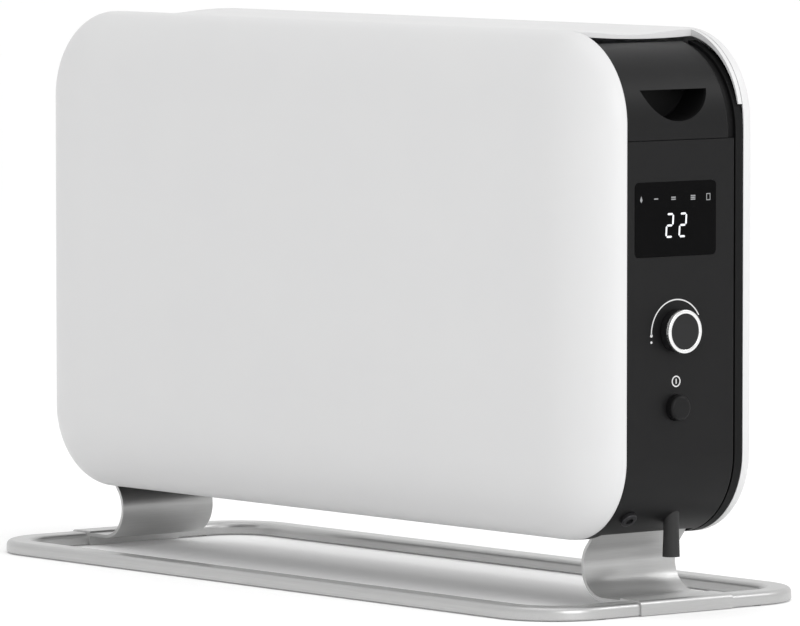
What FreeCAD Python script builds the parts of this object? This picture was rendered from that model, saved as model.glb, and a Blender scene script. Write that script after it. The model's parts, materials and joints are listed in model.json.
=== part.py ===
# Fan convector heater: white steel panel heater on a bar stand, with black end caps and side controls.
#
# The heater is modelled in millimetres, +Z up.  The origin is the middle of the stand's outline on the floor,
# +X runs towards the controls and the front panel faces -Y.  Every driving size sits in the spreadsheet
# "Sizes"; a Size object carries a number together with the formula that gives it, so that each feature is
# bound to the sheet while its starting geometry is drawn at the right place.
import FreeCAD, Part
import math
import os
import Sketcher

doc = FreeCAD.newDocument("FanConvector")
sheet = doc.addObject("Spreadsheet::Sheet", "Sizes")

DRIVING = {
    # casing outline
    "panel_width": 700.0,
    "panel_height": 383.0,
    "ground_gap": 53.0,
    "corner_radius": 69.0,
    "low_radius": 64.0,
    # front panel
    "panel_front": 85.0,
    "roll_width": 60.0,
    "roll_depth": 32.0,
    "panel_sheet": 1.2,
    # depths of the side and of the rear cover
    "side_depth": 115.0,
    "rear_depth": 10.5,
    "rear_roll": 7.0,
    "rear_sheet": 1.0,
    # end caps
    "seam": 0.6,
    "cap_wall": 2.5,
    "insert_wall": 2.5,
    "insert_edge": 1.8,
    "cap_top_drop": 7.9,
    "cap_top_radius": 69.0,
    "cap_underside": 120.0,
    "flange_depth": 8.0,
    "handle_setback": 6.0,
    "split_drop": 81.0,
    "web_sheet": 2.0,
    # top hood
    "deck_margin": 56.0,
    "deck_sheet": 1.0,
    "deck_dip": 3.0,
    "deck_crest": 8.0,
    "rim_depth": 4.2,
    "rim_drop": 4.5,
    "rim_radius": 64.0,
    "lip_drop": 7.4,
    "lip_y": 15.0,
    "lip_bow": 760.0,
    "rim_reach": 56.0,
    "deck_gap": 1.5,
    # air outlet
    "outlet_length": 470.0,
    "outlet_depth": 30.0,
    "outlet_back": 4.0,
    "grille_bar": 1.6,
    "grille_pitch": 10.0,
    "grille_height": 5.0,
    # chassis
    "chassis_margin": 60.0,
    "chassis_floor": 13.0,
    "chassis_top": 20.0,
    "chassis_radius": 20.0,
    "chassis_sheet": 0.8,
    "chassis_front": 3.0,
    "chassis_rear": 4.0,
    # finger recesses
    "recess_width": 65.5,
    "recess_drop": 43.6,
    "recess_height": 23.6,
    "recess_shift": 1.0,
    "cup_wall": 2.0,
    "cup_depth": 32.0,
    # controls on the right-hand end
    "control_y": 4.5,
    "window_width": 80.0,
    "window_height": 56.0,
    "window_level": 296.0,
    "window_shift": 5.5,
    "window_glass": 2.0,
    "window_corner": 4.0,
    "dial_level": 212.0,
    "dial_radius": 16.5,
    "dial_reach": 11.0,
    "dial_ring": 3.2,
    "ring_depth": 3.2,
    "shaft_radius": 3.0,
    "running": 0.05,
    "clearance": 0.4,
    "button_level": 154.3,
    "button_radius": 9.6,
    "button_reach": 7.0,
    "button_travel": 3.0,
    # stand
    "stand_overhang": 5.0,
    "stand_depth": 274.0,
    "stand_radius": 54.0,
    "bar_width": 21.0,
    "bar_height": 10.0,
    "bar_round": 4.4,
    "foot_radius": 7.0,
    "foot_height": 3.0,
    "foot_reach": 0.6,
    # legs
    "leg_length": 91.0,
    "leg_y": 2.0,
    "leg_sheet": 2.5,
    "leg_bend": 25.0,
    "leg_inset": 63.5,
    "leg_angle": 40.0,
    "leg_seat": 2.6,
    "saddle_sheet": 1.2,
    "screw_radius": 2.5,
    "rear_screw_radius": 2.0,
    "cap_head_radius": 6.4,
    "cap_head_height": 3.5,
    "cap_screw_back": 17.0,
    # mains inlet
    "gland_inset": 22.0,
    "gland_y": 10.0,
    "gland_radius": 6.0,
    "gland_drop": 30.0,
    "cord_radius": 3.7,
    "gland_neck": 20.0,
    # fan
    "fan_level": 118.0,
    "fan_y": 6.0,
    "fan_radius": 30.0,
    "fan_length": 300.0,
    "fan_axle": 3.0,
    "fan_blade": 7.0,
    "fan_room": 5.0,
    "motor_radius": 26.0,
    "motor_length": 42.0,
    # heating elements
    "element_length": 460.0,
    "element_level": 215.0,
    "element_pitch": 48.0,
    "element_rod": 5.0,
    "fin_depth": 62.0,
    "fin_height": 26.0,
    "fin_sheet": 1.0,
    "fin_pitch": 12.0,
}

BLADES = 20
FINS = 37
GRILLE_BARS = 46
LOUVRES = 11
INLET_SLOTS = 21
LEAN = math.sqrt(0.5)
CAP_TURN = FreeCAD.Rotation(FreeCAD.Vector(0, 1, 0), 135)


class Size:
    """A number together with the spreadsheet formula that gives it."""

    def __init__(self, value, text):
        self.value = float(value)
        self.text = text

    def _with(self, other, sign, value):
        return Size(value, "(%s %s %s)" % (self.text, sign, size(other).text))

    def __add__(self, other):
        return self._with(other, "+", self.value + size(other).value)

    def __radd__(self, other):
        return size(other) + self

    def __sub__(self, other):
        return self._with(other, "-", self.value - size(other).value)

    def __rsub__(self, other):
        return size(other) - self

    def __mul__(self, other):
        return self._with(other, "*", self.value * size(other).value)

    def __rmul__(self, other):
        return size(other) * self

    def __truediv__(self, other):
        return self._with(other, "/", self.value / size(other).value)

    def __neg__(self):
        return Size(-self.value, "(0 - %s)" % self.text)


def size(value):
    """Return value as a Size."""
    if isinstance(value, Size):
        return value
    return Size(value, "(%r)" % float(value))


def root(value):
    """Square root of a Size."""
    return Size(math.sqrt(value.value), "sqrt(%s)" % value.text)


def sine(angle):
    """Sine of a Size in degrees."""
    return Size(math.sin(math.radians(angle.value)), "sin(%s)" % angle.text)


def cosine(angle):
    """Cosine of a Size in degrees."""
    return Size(math.cos(math.radians(angle.value)), "cos(%s)" % angle.text)


class Sheet:
    """Writes the driving sizes to the spreadsheet and hands each out as a Size."""

    def __init__(self, table):
        for row, (alias, number) in enumerate(table.items(), start=1):
            sheet.set("A%d" % row, alias.replace("_", " "))
            sheet.set("B%d" % row, repr(number))
            sheet.setAlias("B%d" % row, alias)
            setattr(self, alias, Size(number, "Sizes." + alias))


s = Sheet(DRIVING)
doc.recompute()

# ---------------------------------------------------------------- reference planes shared by the sub-parts
half = s.panel_width / 2
bottom = s.ground_gap
top = bottom + s.panel_height
edge_y = s.roll_depth - s.panel_front
rear_y = edge_y + s.side_depth
back_y = rear_y + s.rear_depth
flange_y = rear_y - s.flange_depth
cap_top = top - s.cap_top_drop
split = top - s.split_drop
deck_end = half - s.deck_margin
cap_end = half - s.cap_underside
chassis_end = half - s.chassis_margin
chassis_low = bottom + s.chassis_floor
chassis_high = top - s.chassis_top
chassis_y0 = edge_y + s.chassis_front
chassis_y1 = rear_y - s.chassis_rear
baffle_y = chassis_y0 + s.chassis_sheet
control_y = -s.control_y
bar_low = s.foot_reach
bar_top = bar_low + s.bar_height
stand_end = half + s.stand_overhang
stand_side = s.stand_depth / 2
leg_waist = half - s.leg_inset
leg_y0 = s.leg_y - s.leg_length / 2
leg_y1 = s.leg_y + s.leg_length / 2
gland_x = half - s.gland_inset

nodes = []


# ---------------------------------------------------------------- drawing helpers
def bind(thing, **properties):
    """Bind properties to formulas; a double underscore stands for a dot."""
    for name, amount in properties.items():
        thing.setExpression(name.replace("__", "."), size(amount).text)


def node(thing, label):
    """Register a finished sub-part under its own label."""
    thing.Label = label
    nodes.append(thing)
    return thing


def box(name, x, y, z):
    """Box between two bounds on each axis."""
    made = doc.addObject("Part::Box", name)
    low = [size(bound[0]) for bound in (x, y, z)]
    span = [size(bound[1]) - bound[0] for bound in (x, y, z)]
    bind(made, Length=span[0], Width=span[1], Height=span[2])
    bind(made, Placement__Base__x=low[0], Placement__Base__y=low[1], Placement__Base__z=low[2])
    return made


TURN = {
    "X": FreeCAD.Rotation(FreeCAD.Vector(0, 1, 0), 90),
    "Y": FreeCAD.Rotation(FreeCAD.Vector(1, 0, 0), -90),
    "Z": FreeCAD.Rotation(),
}


def place(made, axis, start, across):
    """Stand a primitive on the given axis; across holds its two other coordinates in X, Y, Z order."""
    made.Placement = FreeCAD.Placement(FreeCAD.Vector(), TURN[axis])
    spot = list(across)
    spot.insert("XYZ".index(axis), start)
    bind(made, Placement__Base__x=spot[0], Placement__Base__y=spot[1], Placement__Base__z=spot[2])
    return made


def rod(name, axis, ends, across, radius):
    """Cylinder along an axis between two ends."""
    made = doc.addObject("Part::Cylinder", name)
    bind(made, Radius=radius, Height=size(ends[1]) - ends[0])
    return place(made, axis, ends[0], across)


def cone(name, axis, ends, across, radii):
    """Cone along an axis from the first radius to the second."""
    made = doc.addObject("Part::Cone", name)
    bind(made, Radius1=radii[0], Radius2=radii[1], Height=size(ends[1]) - ends[0])
    return place(made, axis, ends[0], across)


def fuse(name, *pieces):
    """Union of pieces."""
    made = doc.addObject("Part::MultiFuse", name)
    made.Shapes = list(pieces)
    made.Refine = True
    return made


def group(name, *pieces):
    """Separate solids kept together as one sub-part."""
    made = doc.addObject("Part::Compound", name)
    made.Links = list(pieces)
    return made


def cut(name, base, *tools):
    """Base less every tool."""
    made = doc.addObject("Part::Cut", name)
    made.Base = base
    made.Tool = tools[0] if len(tools) == 1 else group(name + "_tools", *tools)
    made.Refine = True
    return made


def common(name, first, second):
    """What two shapes share."""
    made = doc.addObject("Part::Common", name)
    made.Base = first
    made.Tool = second
    made.Refine = True
    return made


def mirror(name, source):
    """The same piece on the other end of the heater."""
    made = doc.addObject("Part::Mirroring", name)
    made.Source = source
    made.Base = FreeCAD.Vector(0, 0, 0)
    made.Normal = FreeCAD.Vector(1, 0, 0)
    return made


def soften(name, source, radius, chosen):
    """Round the edges of source for which chosen(edge) is true."""
    doc.recompute()
    made = doc.addObject("Part::Fillet", name)
    made.Base = source
    numbers = [i for i, edge in enumerate(source.Shape.Edges, start=1) if chosen(edge)]
    made.Edges = [(i, size(radius).value, size(radius).value) for i in numbers]
    return made


def on_plane(edge, axis, level, reach=0.01):
    """True when the whole edge lies in the plane axis = level."""
    low, high = edge.BoundBox.XMin, edge.BoundBox.XMax
    if axis == "Y":
        low, high = edge.BoundBox.YMin, edge.BoundBox.YMax
    if axis == "Z":
        low, high = edge.BoundBox.ZMin, edge.BoundBox.ZMax
    return abs(low - size(level).value) < reach and abs(high - size(level).value) < reach


PLANES = {"Y": ("XZ_Plane", -1.0), "X": ("YZ_Plane", 1.0), "Z": ("XY_Plane", 1.0)}


def sketch_on(body, name, axis, level):
    """Sketch across an axis at a level; its own axes are the two others, in X, Y, Z order."""
    role, sign = PLANES[axis]
    plane = [f for f in body.Origin.OriginFeatures if f.Role == role][0]
    made = body.newObject("Sketcher::SketchObject", name)
    made.AttachmentSupport = [(plane, "")]
    made.MapMode = "FlatFace"
    bind(made, AttachmentOffset__Base__z=size(level) * sign)
    return made


def pin_point(sketch, geometry, point, u, v):
    """Tie one point of the sketch to its two coordinates."""
    for kind, amount in (("DistanceX", size(u)), ("DistanceY", size(v))):
        index = sketch.addConstraint(Sketcher.Constraint(kind, -1, 1, geometry, point, amount.value))
        sketch.setExpression("Constraints[%d]" % index, amount.text)


def draw_polygon(sketch, corners):
    """Closed polygon through corners, each tied to its own formulas."""
    spots = [FreeCAD.Vector(size(u).value, size(v).value, 0) for u, v in corners]
    count = len(spots)
    first = sketch.GeometryCount
    for i in range(count):
        sketch.addGeometry(Part.LineSegment(spots[i], spots[(i + 1) % count]), False)
    for i in range(count):
        sketch.addConstraint(Sketcher.Constraint("Coincident", first + i, 2, first + (i + 1) % count, 1))
    for i, (u, v) in enumerate(corners):
        pin_point(sketch, first + i, 1, u, v)


def draw_circle(sketch, u, v, radius):
    """Circle with its centre and radius tied to formulas."""
    centre = FreeCAD.Vector(size(u).value, size(v).value, 0)
    index = sketch.addGeometry(Part.Circle(centre, FreeCAD.Vector(0, 0, 1), size(radius).value), False)
    pin_point(sketch, index, 3, u, v)
    limit = sketch.addConstraint(Sketcher.Constraint("Radius", index, size(radius).value))
    sketch.setExpression("Constraints[%d]" % limit, size(radius).text)


def draw_rounded(sketch, u, v, radii):
    """Rounded rectangle: u and v are its bounds, radii its lower and its upper corner radius."""
    u0, u1, v0, v1 = (size(bound) for bound in (u[0], u[1], v[0], v[1]))
    low, high = size(radii[0]), size(radii[1])
    centres = [(u0 + low, v0 + low, low, 180), (u1 - low, v0 + low, low, 270)]
    centres += [(u1 - high, v1 - high, high, 0), (u0 + high, v1 - high, high, 90)]
    arcs = []
    for cu, cv, radius, start in centres:
        middle = FreeCAD.Vector(cu.value, cv.value, 0)
        circle = Part.Circle(middle, FreeCAD.Vector(0, 0, 1), radius.value)
        angles = (math.radians(start), math.radians(start + 90))
        arcs.append(sketch.addGeometry(Part.ArcOfCircle(circle, *angles), False))
    for i, (cu, cv, radius, _start) in enumerate(centres):
        pin_point(sketch, arcs[i], 3, cu, cv)
        limit = sketch.addConstraint(Sketcher.Constraint("Radius", arcs[i], radius.value))
        sketch.setExpression("Constraints[%d]" % limit, radius.text)
    for i in range(4):
        after = (i + 1) % 4
        ends = (sketch.getPoint(arcs[i], 2), sketch.getPoint(arcs[after], 1))
        side = sketch.addGeometry(Part.LineSegment(*ends), False)
        sketch.addConstraint(Sketcher.Constraint("Tangent", arcs[i], 2, side, 1))
        sketch.addConstraint(Sketcher.Constraint("Tangent", side, 2, arcs[after], 1))


def prism(name, axis, ends, draw):
    """Pad of a sketch, drawn by draw(sketch), between two ends on an axis."""
    body = doc.addObject("PartDesign::Body", name)
    sign = PLANES[axis][1]
    start = ends[0] if sign > 0 else ends[1]
    sketch = sketch_on(body, name + "_sketch", axis, start)
    draw(sketch)
    pad = body.newObject("PartDesign::Pad", name + "_pad")
    pad.Profile = sketch
    bind(pad, Length=size(ends[1]) - ends[0])
    body.Tip = pad
    return body


def slab(name, y, inset=0.0, drop=0.0, radii=None):
    """The casing's outline, drawn in by inset and lowered at the top by drop, between two depths."""
    corners = radii or (s.low_radius, s.corner_radius)
    corners = [size(radius) - inset for radius in corners]
    u = (size(inset) - half, half - inset)
    v = (bottom + inset, top - drop - inset)
    return prism(name, "Y", y, lambda sketch: draw_rounded(sketch, u, v, corners))


def cap_slab(name, y, inset=0.0):
    """The end caps' outline: the casing's, but lower and tighter at its upper corners."""
    return slab(name, y, inset, s.cap_top_drop, (s.low_radius, s.cap_top_radius))


# ---------------------------------------------------------------- front panel
def pillow(name, inset):
    """Solid under the front panel's face: the outline rolls forward through a quarter ellipse.

    The ellipse is carried straight along the four sides and turned about each corner's own centre.
    Sides and corners are numbered by their turn about Y: left and upper left 0, top and upper right 90,
    right and lower right 180, bottom and lower left 270.
    """
    wide = s.roll_width.value - inset
    deep = s.roll_depth.value - inset
    high_corner = s.corner_radius.value - inset
    low_corner = s.low_radius.value - inset
    reach_x = half.value - inset
    reach_z = s.panel_height.value / 2 - inset
    rear = edge_y.value
    ellipse = Part.Ellipse(FreeCAD.Vector(0, 0, 0), wide, deep)
    arc = Part.ArcOfEllipse(ellipse, math.radians(180), math.radians(270)).toShape()
    start, end = arc.Vertexes[0].Point, arc.Vertexes[-1].Point
    centre = FreeCAD.Vector(0, 0, 0)
    edges = [arc, Part.makeLine(end, centre), Part.makeLine(centre, start)]
    profile = Part.Face(Part.Wire(edges))
    upright = 2 * reach_z - high_corner - low_corner
    straight = {0: upright, 90: 2 * (reach_x - high_corner), 180: upright, 270: 2 * (reach_x - low_corner)}
    pieces = []
    for turn, length in straight.items():
        out = reach_x if turn in (0, 180) else reach_z
        side = profile.translated(FreeCAD.Vector(wide - out, rear, -length / 2))
        side = side.extrude(FreeCAD.Vector(0, 0, length))
        side.rotate(FreeCAD.Vector(0, 0, 0), FreeCAD.Vector(0, 1, 0), turn)
        if turn in (0, 180):
            side.translate(FreeCAD.Vector(0, 0, (low_corner - high_corner) / 2))
        corner = high_corner if turn in (0, 90) else low_corner
        quarter = profile.translated(FreeCAD.Vector(wide - corner, rear, 0))
        quarter = quarter.revolve(FreeCAD.Vector(0, 0, 0), FreeCAD.Vector(0, 1, 0), 90)
        quarter.rotate(FreeCAD.Vector(0, 0, 0), FreeCAD.Vector(0, 1, 0), turn)
        shift_x = (corner - reach_x) if turn in (0, 270) else (reach_x - corner)
        shift_z = (reach_z - corner) if turn in (0, 90) else (corner - reach_z)
        quarter.translate(FreeCAD.Vector(shift_x, 0, shift_z))
        pieces += [side, quarter]
    core = Part.makeBox(2 * (reach_x - wide), deep, 2 * (reach_z - wide))
    core.translate(FreeCAD.Vector(wide - reach_x, rear - deep, wide - reach_z))
    for sign, corner in ((1, high_corner), (-1, low_corner)):
        upright_edges = [edge for edge in core.Edges if abs(edge.BoundBox.YLength - deep) < 0.001]
        outer_edges = [edge for edge in upright_edges if edge.BoundBox.ZMax * sign > reach_z - wide - 0.001]
        core = core.makeFillet(corner - wide, outer_edges)
    whole = core.multiFuse(pieces).removeSplitter()
    made = doc.addObject("Part::Feature", name)
    made.Shape = whole
    middle_z = ((bottom + top) / 2).value
    made.Placement = FreeCAD.Placement(FreeCAD.Vector(0, 0, middle_z), FreeCAD.Rotation())
    return made


def front_panel():
    """Pressed steel front: flat face with a broad elliptical roll all round."""
    outer = pillow("front_outer", 0.0)
    inner = pillow("front_inner", s.panel_sheet.value)
    return node(cut("front_shell", outer, inner), "front_panel")


def panel_brackets():
    """Four folded brackets that hold the front panel off the baffle."""
    inner_face = s.panel_sheet - s.panel_front
    made = []
    for side in (-1, 1):
        for level in (-1, 1):
            x = size(side * 180.0)
            z = (bottom + top) / 2 + level * 110.0
            outer = box("bracket_outer", (x - 30, x + 30), (inner_face, chassis_y0), (z - 9, z + 9))
            room = (inner_face + s.panel_sheet, chassis_y0 - s.panel_sheet)
            inner = box("bracket_inner", (x - 28, x + 28), room, (z - 10, z + 10))
            made.append(cut("bracket", outer, inner))
    return node(group("brackets", *made), "panel_brackets")


# ---------------------------------------------------------------- chassis
def chassis_ring(name, y, inset=0.0):
    """Rounded box round the air duct, drawn in by inset."""
    u = (size(inset) - chassis_end, chassis_end - inset)
    v = (chassis_low + inset, chassis_high - inset)
    radius = s.chassis_radius - inset
    return prism(name, "Y", y, lambda sketch: draw_rounded(sketch, u, v, (radius, radius)))


def chassis_frame():
    """Bent sheet band that carries everything, open above the elements and below the fan."""
    outer = chassis_ring("chassis_outer", (chassis_y0, chassis_y1))
    inner = chassis_ring("chassis_inner", (baffle_y, chassis_y1 + 1), s.chassis_sheet)
    reach = s.outlet_length / 2
    outlet_y1 = -s.outlet_back
    outlet_y0 = outlet_y1 - s.outlet_depth
    outlet = box("chassis_outlet", (-reach, reach), (outlet_y0, outlet_y1), (chassis_high - 5, chassis_high + 5))
    inlet_x = s.fan_length / 2
    inlet_z = (chassis_low - 5, chassis_low + 5)
    inlet = box("chassis_inlet", (-inlet_x, inlet_x), (s.fan_y - 30, s.fan_y + 30), inlet_z)
    holes = [rod("chassis_hole", "Z", inlet_z, spot, s.screw_radius + 0.1) for spot in leg_screw_spots()]
    return node(cut("chassis", outer, inner, outlet, inlet, *holes), "chassis_frame")


def leg_screw_spots():
    """Middle of each leg screw, seen from above."""
    x = (leg_waist + cap_end) / 2
    return [(x * side, s.leg_y + away) for side in (-1, 1) for away in (-28, 28)]


def rear_baffle():
    """Sheet that closes the duct behind the elements, with intake slots at fan height."""
    u = (s.chassis_sheet - chassis_end, chassis_end - s.chassis_sheet)
    v = (chassis_low + s.chassis_sheet, chassis_high - s.chassis_sheet)
    radius = s.chassis_radius - s.chassis_sheet
    y = (chassis_y1 - s.chassis_sheet, chassis_y1)
    plate = prism("duct_back", "Y", y, lambda sketch: draw_rounded(sketch, u, v, (radius, radius)))
    slots = []
    for i in range(12):
        x = size((i - 5.5) * 24.0)
        z = (s.fan_level - 28, s.fan_level + 28)
        slots.append(box("duct_slot", (x - 5, x + 5), (y[0] - 1, y[1] + 1), z))
    return node(cut("duct_back_cut", plate, *slots), "rear_baffle")


# ---------------------------------------------------------------- top hood and outlet
def dished_solid(name, drop):
    """Solid under the hood's top: the casing outline with a shallow dish along its depth.

    Its section over the depth is lowered by a sine-squared dish between the front lip and the rear crest.
    The section runs straight along the top and turns about the centres of the two upper corners.
    """
    front, back = (edge_y + s.seam).value, (rear_y - s.seam).value
    crest = (rear_y - s.deck_crest).value
    reach = (s.corner_radius - drop).value
    steps = 12
    points = []
    for i in range(steps + 1):
        y = front + (crest - front) * i / steps
        dish = s.deck_dip.value * math.sin(math.pi * i / steps) ** 2
        points.append(FreeCAD.Vector(0, y, reach - dish))
    curve = Part.BSplineCurve()
    curve.interpolate(points)
    end, corner = FreeCAD.Vector(0, back, reach), FreeCAD.Vector(0, back, 0)
    edges = [curve.toShape(), Part.makeLine(points[-1], end), Part.makeLine(end, corner)]
    start = FreeCAD.Vector(0, front, 0)
    edges += [Part.makeLine(corner, start), Part.makeLine(start, points[0])]
    section = Part.Face(Part.Wire(edges))
    middle_x = (half - s.corner_radius).value
    centre_z = (top - s.corner_radius).value
    straight = section.translated(FreeCAD.Vector(-middle_x, 0, 0)).extrude(FreeCAD.Vector(2 * middle_x, 0, 0))
    pieces = [straight]
    for side in (-1, 1):
        turned = section.revolve(FreeCAD.Vector(0, 0, 0), FreeCAD.Vector(0, 1, 0), side * 40)
        pieces.append(turned.translated(FreeCAD.Vector(side * middle_x, 0, 0)))
    made = doc.addObject("Part::Feature", name)
    made.Shape = pieces[0].multiFuse(pieces[1:]).removeSplitter()
    made.Placement = FreeCAD.Placement(FreeCAD.Vector(0, 0, centre_z), FreeCAD.Rotation())
    return made


def top_hood():
    """White hood: dished deck, and a rim that follows the casing's corners down to a small step."""
    shell = cut("deck_shell", dished_solid("deck_over", size(0.0)), dished_solid("deck_under", s.deck_sheet))
    over = box("deck_band", (-deck_end, deck_end), (edge_y, rear_y), (top - s.corner_radius / 2, top + 1))
    deck = common("deck", shell, over)
    rim_outer = slab("rim_outer", (rear_y - s.rim_depth, rear_y - s.seam))
    radii = (s.low_radius, s.rim_radius + s.deck_sheet)
    rim_inner = slab("rim_inner", (rear_y - s.rim_depth - 1, rear_y), s.deck_sheet, s.rim_drop, radii)
    rim = cut("rim", rim_outer, rim_inner)
    band = box("rim_band", (-half - 1, half + 1), (edge_y, rear_y), (top - s.rim_reach, top + 1))
    joined = fuse("hood_joined", deck, common("rim_top", rim, band), *deck_lips())
    slot = outlet_slot("hood_slot", size(0.0))
    return node(cut("hood", joined, slot), "top_hood")


def deck_lips():
    """Turned-down ends of the deck: upright plates whose lower edge bows gently downwards."""
    room = dished_solid("lip_room", size(0.0))
    y = (edge_y + s.seam, rear_y - s.seam)
    plate = box("lip_plate", (deck_end - s.deck_sheet, deck_end), y, (top - s.lip_drop - 1, top + 1))
    x = (deck_end - s.deck_sheet - 1, deck_end + 1)
    bow = rod("lip_bow", "X", x, (s.lip_y, top - s.lip_drop + s.lip_bow), s.lip_bow)
    right = common("lip_right", common("lip_top", plate, room), bow)
    return [right, mirror("lip_left", right)]


def outlet_slot(name, inset):
    """Round-ended slot of the air outlet, drawn in by inset."""
    reach = s.outlet_length / 2 - inset
    y1 = -s.outlet_back - inset
    y0 = y1 - s.outlet_depth + inset * 2
    radius = s.outlet_depth / 2 - inset - 0.1
    u, v = (-reach, reach), (y0, y1)
    z = (chassis_high, top + 5)
    return prism(name, "Z", z, lambda sketch: draw_rounded(sketch, u, v, (radius, radius)))


def outlet_grille():
    """Black grille under the slot: a collar on the chassis, with cross bars and one long bar."""
    high = top - s.deck_dip - s.deck_sheet
    low = chassis_high
    rise = high + s.deck_dip
    reach = s.outlet_length / 2
    y1 = -s.outlet_back
    y0 = y1 - s.outlet_depth
    wall = s.grille_bar
    outer = box("grille_outer", (-reach - wall, reach + wall), (y0 - wall, y1 + wall), (low, rise))
    inner = box("grille_inner", (-reach, reach), (y0, y1), (low - 1, rise + 1))
    frame = common("grille_frame", cut("grille_collar", outer, inner), dished_solid("grille_room", s.deck_sheet))
    bars = []
    for i in range(GRILLE_BARS):
        x = s.grille_pitch * (i - (GRILLE_BARS - 1) / 2)
        bars.append(box("grille_cross", (x - wall / 2, x + wall / 2), (y0, y1), (high - s.grille_height, high)))
    middle = (y0 + y1) / 2
    long_bar = box("grille_long", (-reach, reach), (middle - wall / 2, middle + wall / 2),
                   (high - s.grille_height, high))
    return node(fuse("grille", frame, long_bar, *bars), "outlet_grille")


# ---------------------------------------------------------------- rear cover and underside
def tray(name, y, inset, roll):
    """Casing outline with its rear edge rounded."""
    body = slab(name, y, inset)
    doc.recompute()
    pad = body.Tip
    names = ["Edge%d" % i for i, e in enumerate(pad.Shape.Edges, start=1) if on_plane(e, "Y", y[1])]
    rounding = body.newObject("PartDesign::Fillet", name + "_roll")
    rounding.Base = (pad, names)
    bind(rounding, Radius=roll)
    body.Tip = rounding
    return body


def louvre_spots():
    """Middle of each louvre on the rear cover: two columns of slots."""
    z0 = (bottom + top) / 2 - 100
    return [(size(side * 115.0), z0 + i * 20.0) for side in (-1, 1) for i in range(LOUVRES)]


def rear_cover():
    """White steel tray over the back, with two columns of slots."""
    outer = tray("cover_outer", (rear_y, back_y), 0.0, s.rear_roll)
    inside = s.rear_roll - s.rear_sheet
    inner = tray("cover_inner", (rear_y - 1, back_y - s.rear_sheet), s.rear_sheet, inside)
    y = (back_y - 5, back_y + 5)
    slots = [box("cover_slot", (x - 85, x + 85), y, (z - 3, z + 3)) for x, z in louvre_spots()]
    holes = [rod("cover_hole", "Y", y, spot, s.rear_screw_radius + 0.1) for spot in rear_screw_spots()]
    return node(cut("cover", outer, inner, *slots, *holes), "rear_cover")


def rear_screw_spots():
    """Middle of each rear screw."""
    x = half - 30
    return [(x * side, z) for side in (-1, 1) for z in (bottom + 90, (bottom + top) / 2, top - 90)]


def rear_screws():
    """Pan-head screws through the rear cover into the end frames."""
    made = []
    for x, z in rear_screw_spots():
        shank = rod("rear_shank", "Y", (rear_y - 6, back_y + 0.1), (x, z), s.rear_screw_radius)
        head = rod("rear_head", "Y", (back_y, back_y + 2.2), (x, z), s.rear_screw_radius + 2)
        slot = box("rear_drive", (x - 4, x + 4), (back_y + 1.2, back_y + 3), (z - 0.5, z + 0.5))
        made.append(cut("rear_screw", fuse("rear_screw_blank", shank, head), slot))
    return node(group("rear_screw_set", *made), "rear_screws")


def bottom_grille():
    """Black tray under the casing with the air intake slots."""
    reach = cap_end - s.seam
    y = (edge_y + s.seam, rear_y - s.seam)
    outer = box("intake_outer", (-reach, reach), y, (bottom, chassis_low))
    room_y = (y[0] + s.cap_wall, y[1] - s.cap_wall)
    room_x = (s.cap_wall - reach, reach - s.cap_wall)
    inner = box("intake_inner", room_x, room_y, (bottom + s.cap_wall, chassis_low + 1))
    slots = []
    for i in range(INLET_SLOTS):
        x = size((i - (INLET_SLOTS - 1) / 2) * 14.0)
        slots.append(box("intake_slot", (x - 4, x + 4), (s.fan_y - 32, s.fan_y + 32), (bottom - 1, bottom + 5)))
    return node(cut("intake", outer, inner, *slots), "bottom_grille")


# ---------------------------------------------------------------- end caps
def end_region(name, above, below, x_top, x_low, z_cut):
    """Space that an end piece may take: beyond x_top above z_cut, beyond x_low under it."""
    y = (edge_y - 1, rear_y + 1)
    upper = box(name + "_upper", (x_top, half + 1), y, (z_cut, above))
    lower = box(name + "_lower", (x_low, half + 1), y, (below, z_cut))
    return fuse(name, upper, lower)


def recess_solid(name, extra, x):
    """Finger recess: a round-bottomed pocket under a flat upper edge, grown all round by extra."""
    chord = s.recess_width / 2
    radius = (chord * chord + s.recess_height * s.recess_height) / (s.recess_height * 2)
    flat = top - s.recess_drop
    centre_z = flat - s.recess_height + radius
    drum = rod(name + "_drum", "X", x, (-s.recess_shift, centre_z), radius + extra)
    y = (-s.recess_shift - radius * 2, radius * 2 - s.recess_shift)
    under = box(name + "_under", x, y, (flat - s.recess_height * 2, flat + extra))
    return common(name, drum, under)


def recess_window(name):
    """Plain window in the end frame, clear of the finger recess's cup all round."""
    grow = s.cup_wall + s.clearance
    flat = top - s.recess_drop
    reach = s.recess_width / 2 + grow + s.clearance * 2
    y = (-s.recess_shift - reach, reach - s.recess_shift)
    return box(name, (half - s.cup_depth - 10, half + 5), y, (flat - s.recess_height - grow, flat + grow))


def leg_slot(name):
    """Room for a leg's blade through the underside of an end cap."""
    gap = s.clearance
    x = (leg_face_x(bottom, size(0.0)) - gap * 2, leg_face_x(chassis_low, s.leg_sheet) + gap)
    return box(name, x, (leg_y0 - gap, leg_y1 + gap), (bottom - 1, chassis_low))


def cap_screw_axis():
    """Where the cap screw sits on the lower corner: 45 degrees down, near the front."""
    centre_x = half - s.low_radius
    centre_z = bottom + s.low_radius
    return centre_x + s.low_radius * LEAN, centre_z - s.low_radius * LEAN, edge_y + s.cap_screw_back


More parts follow.
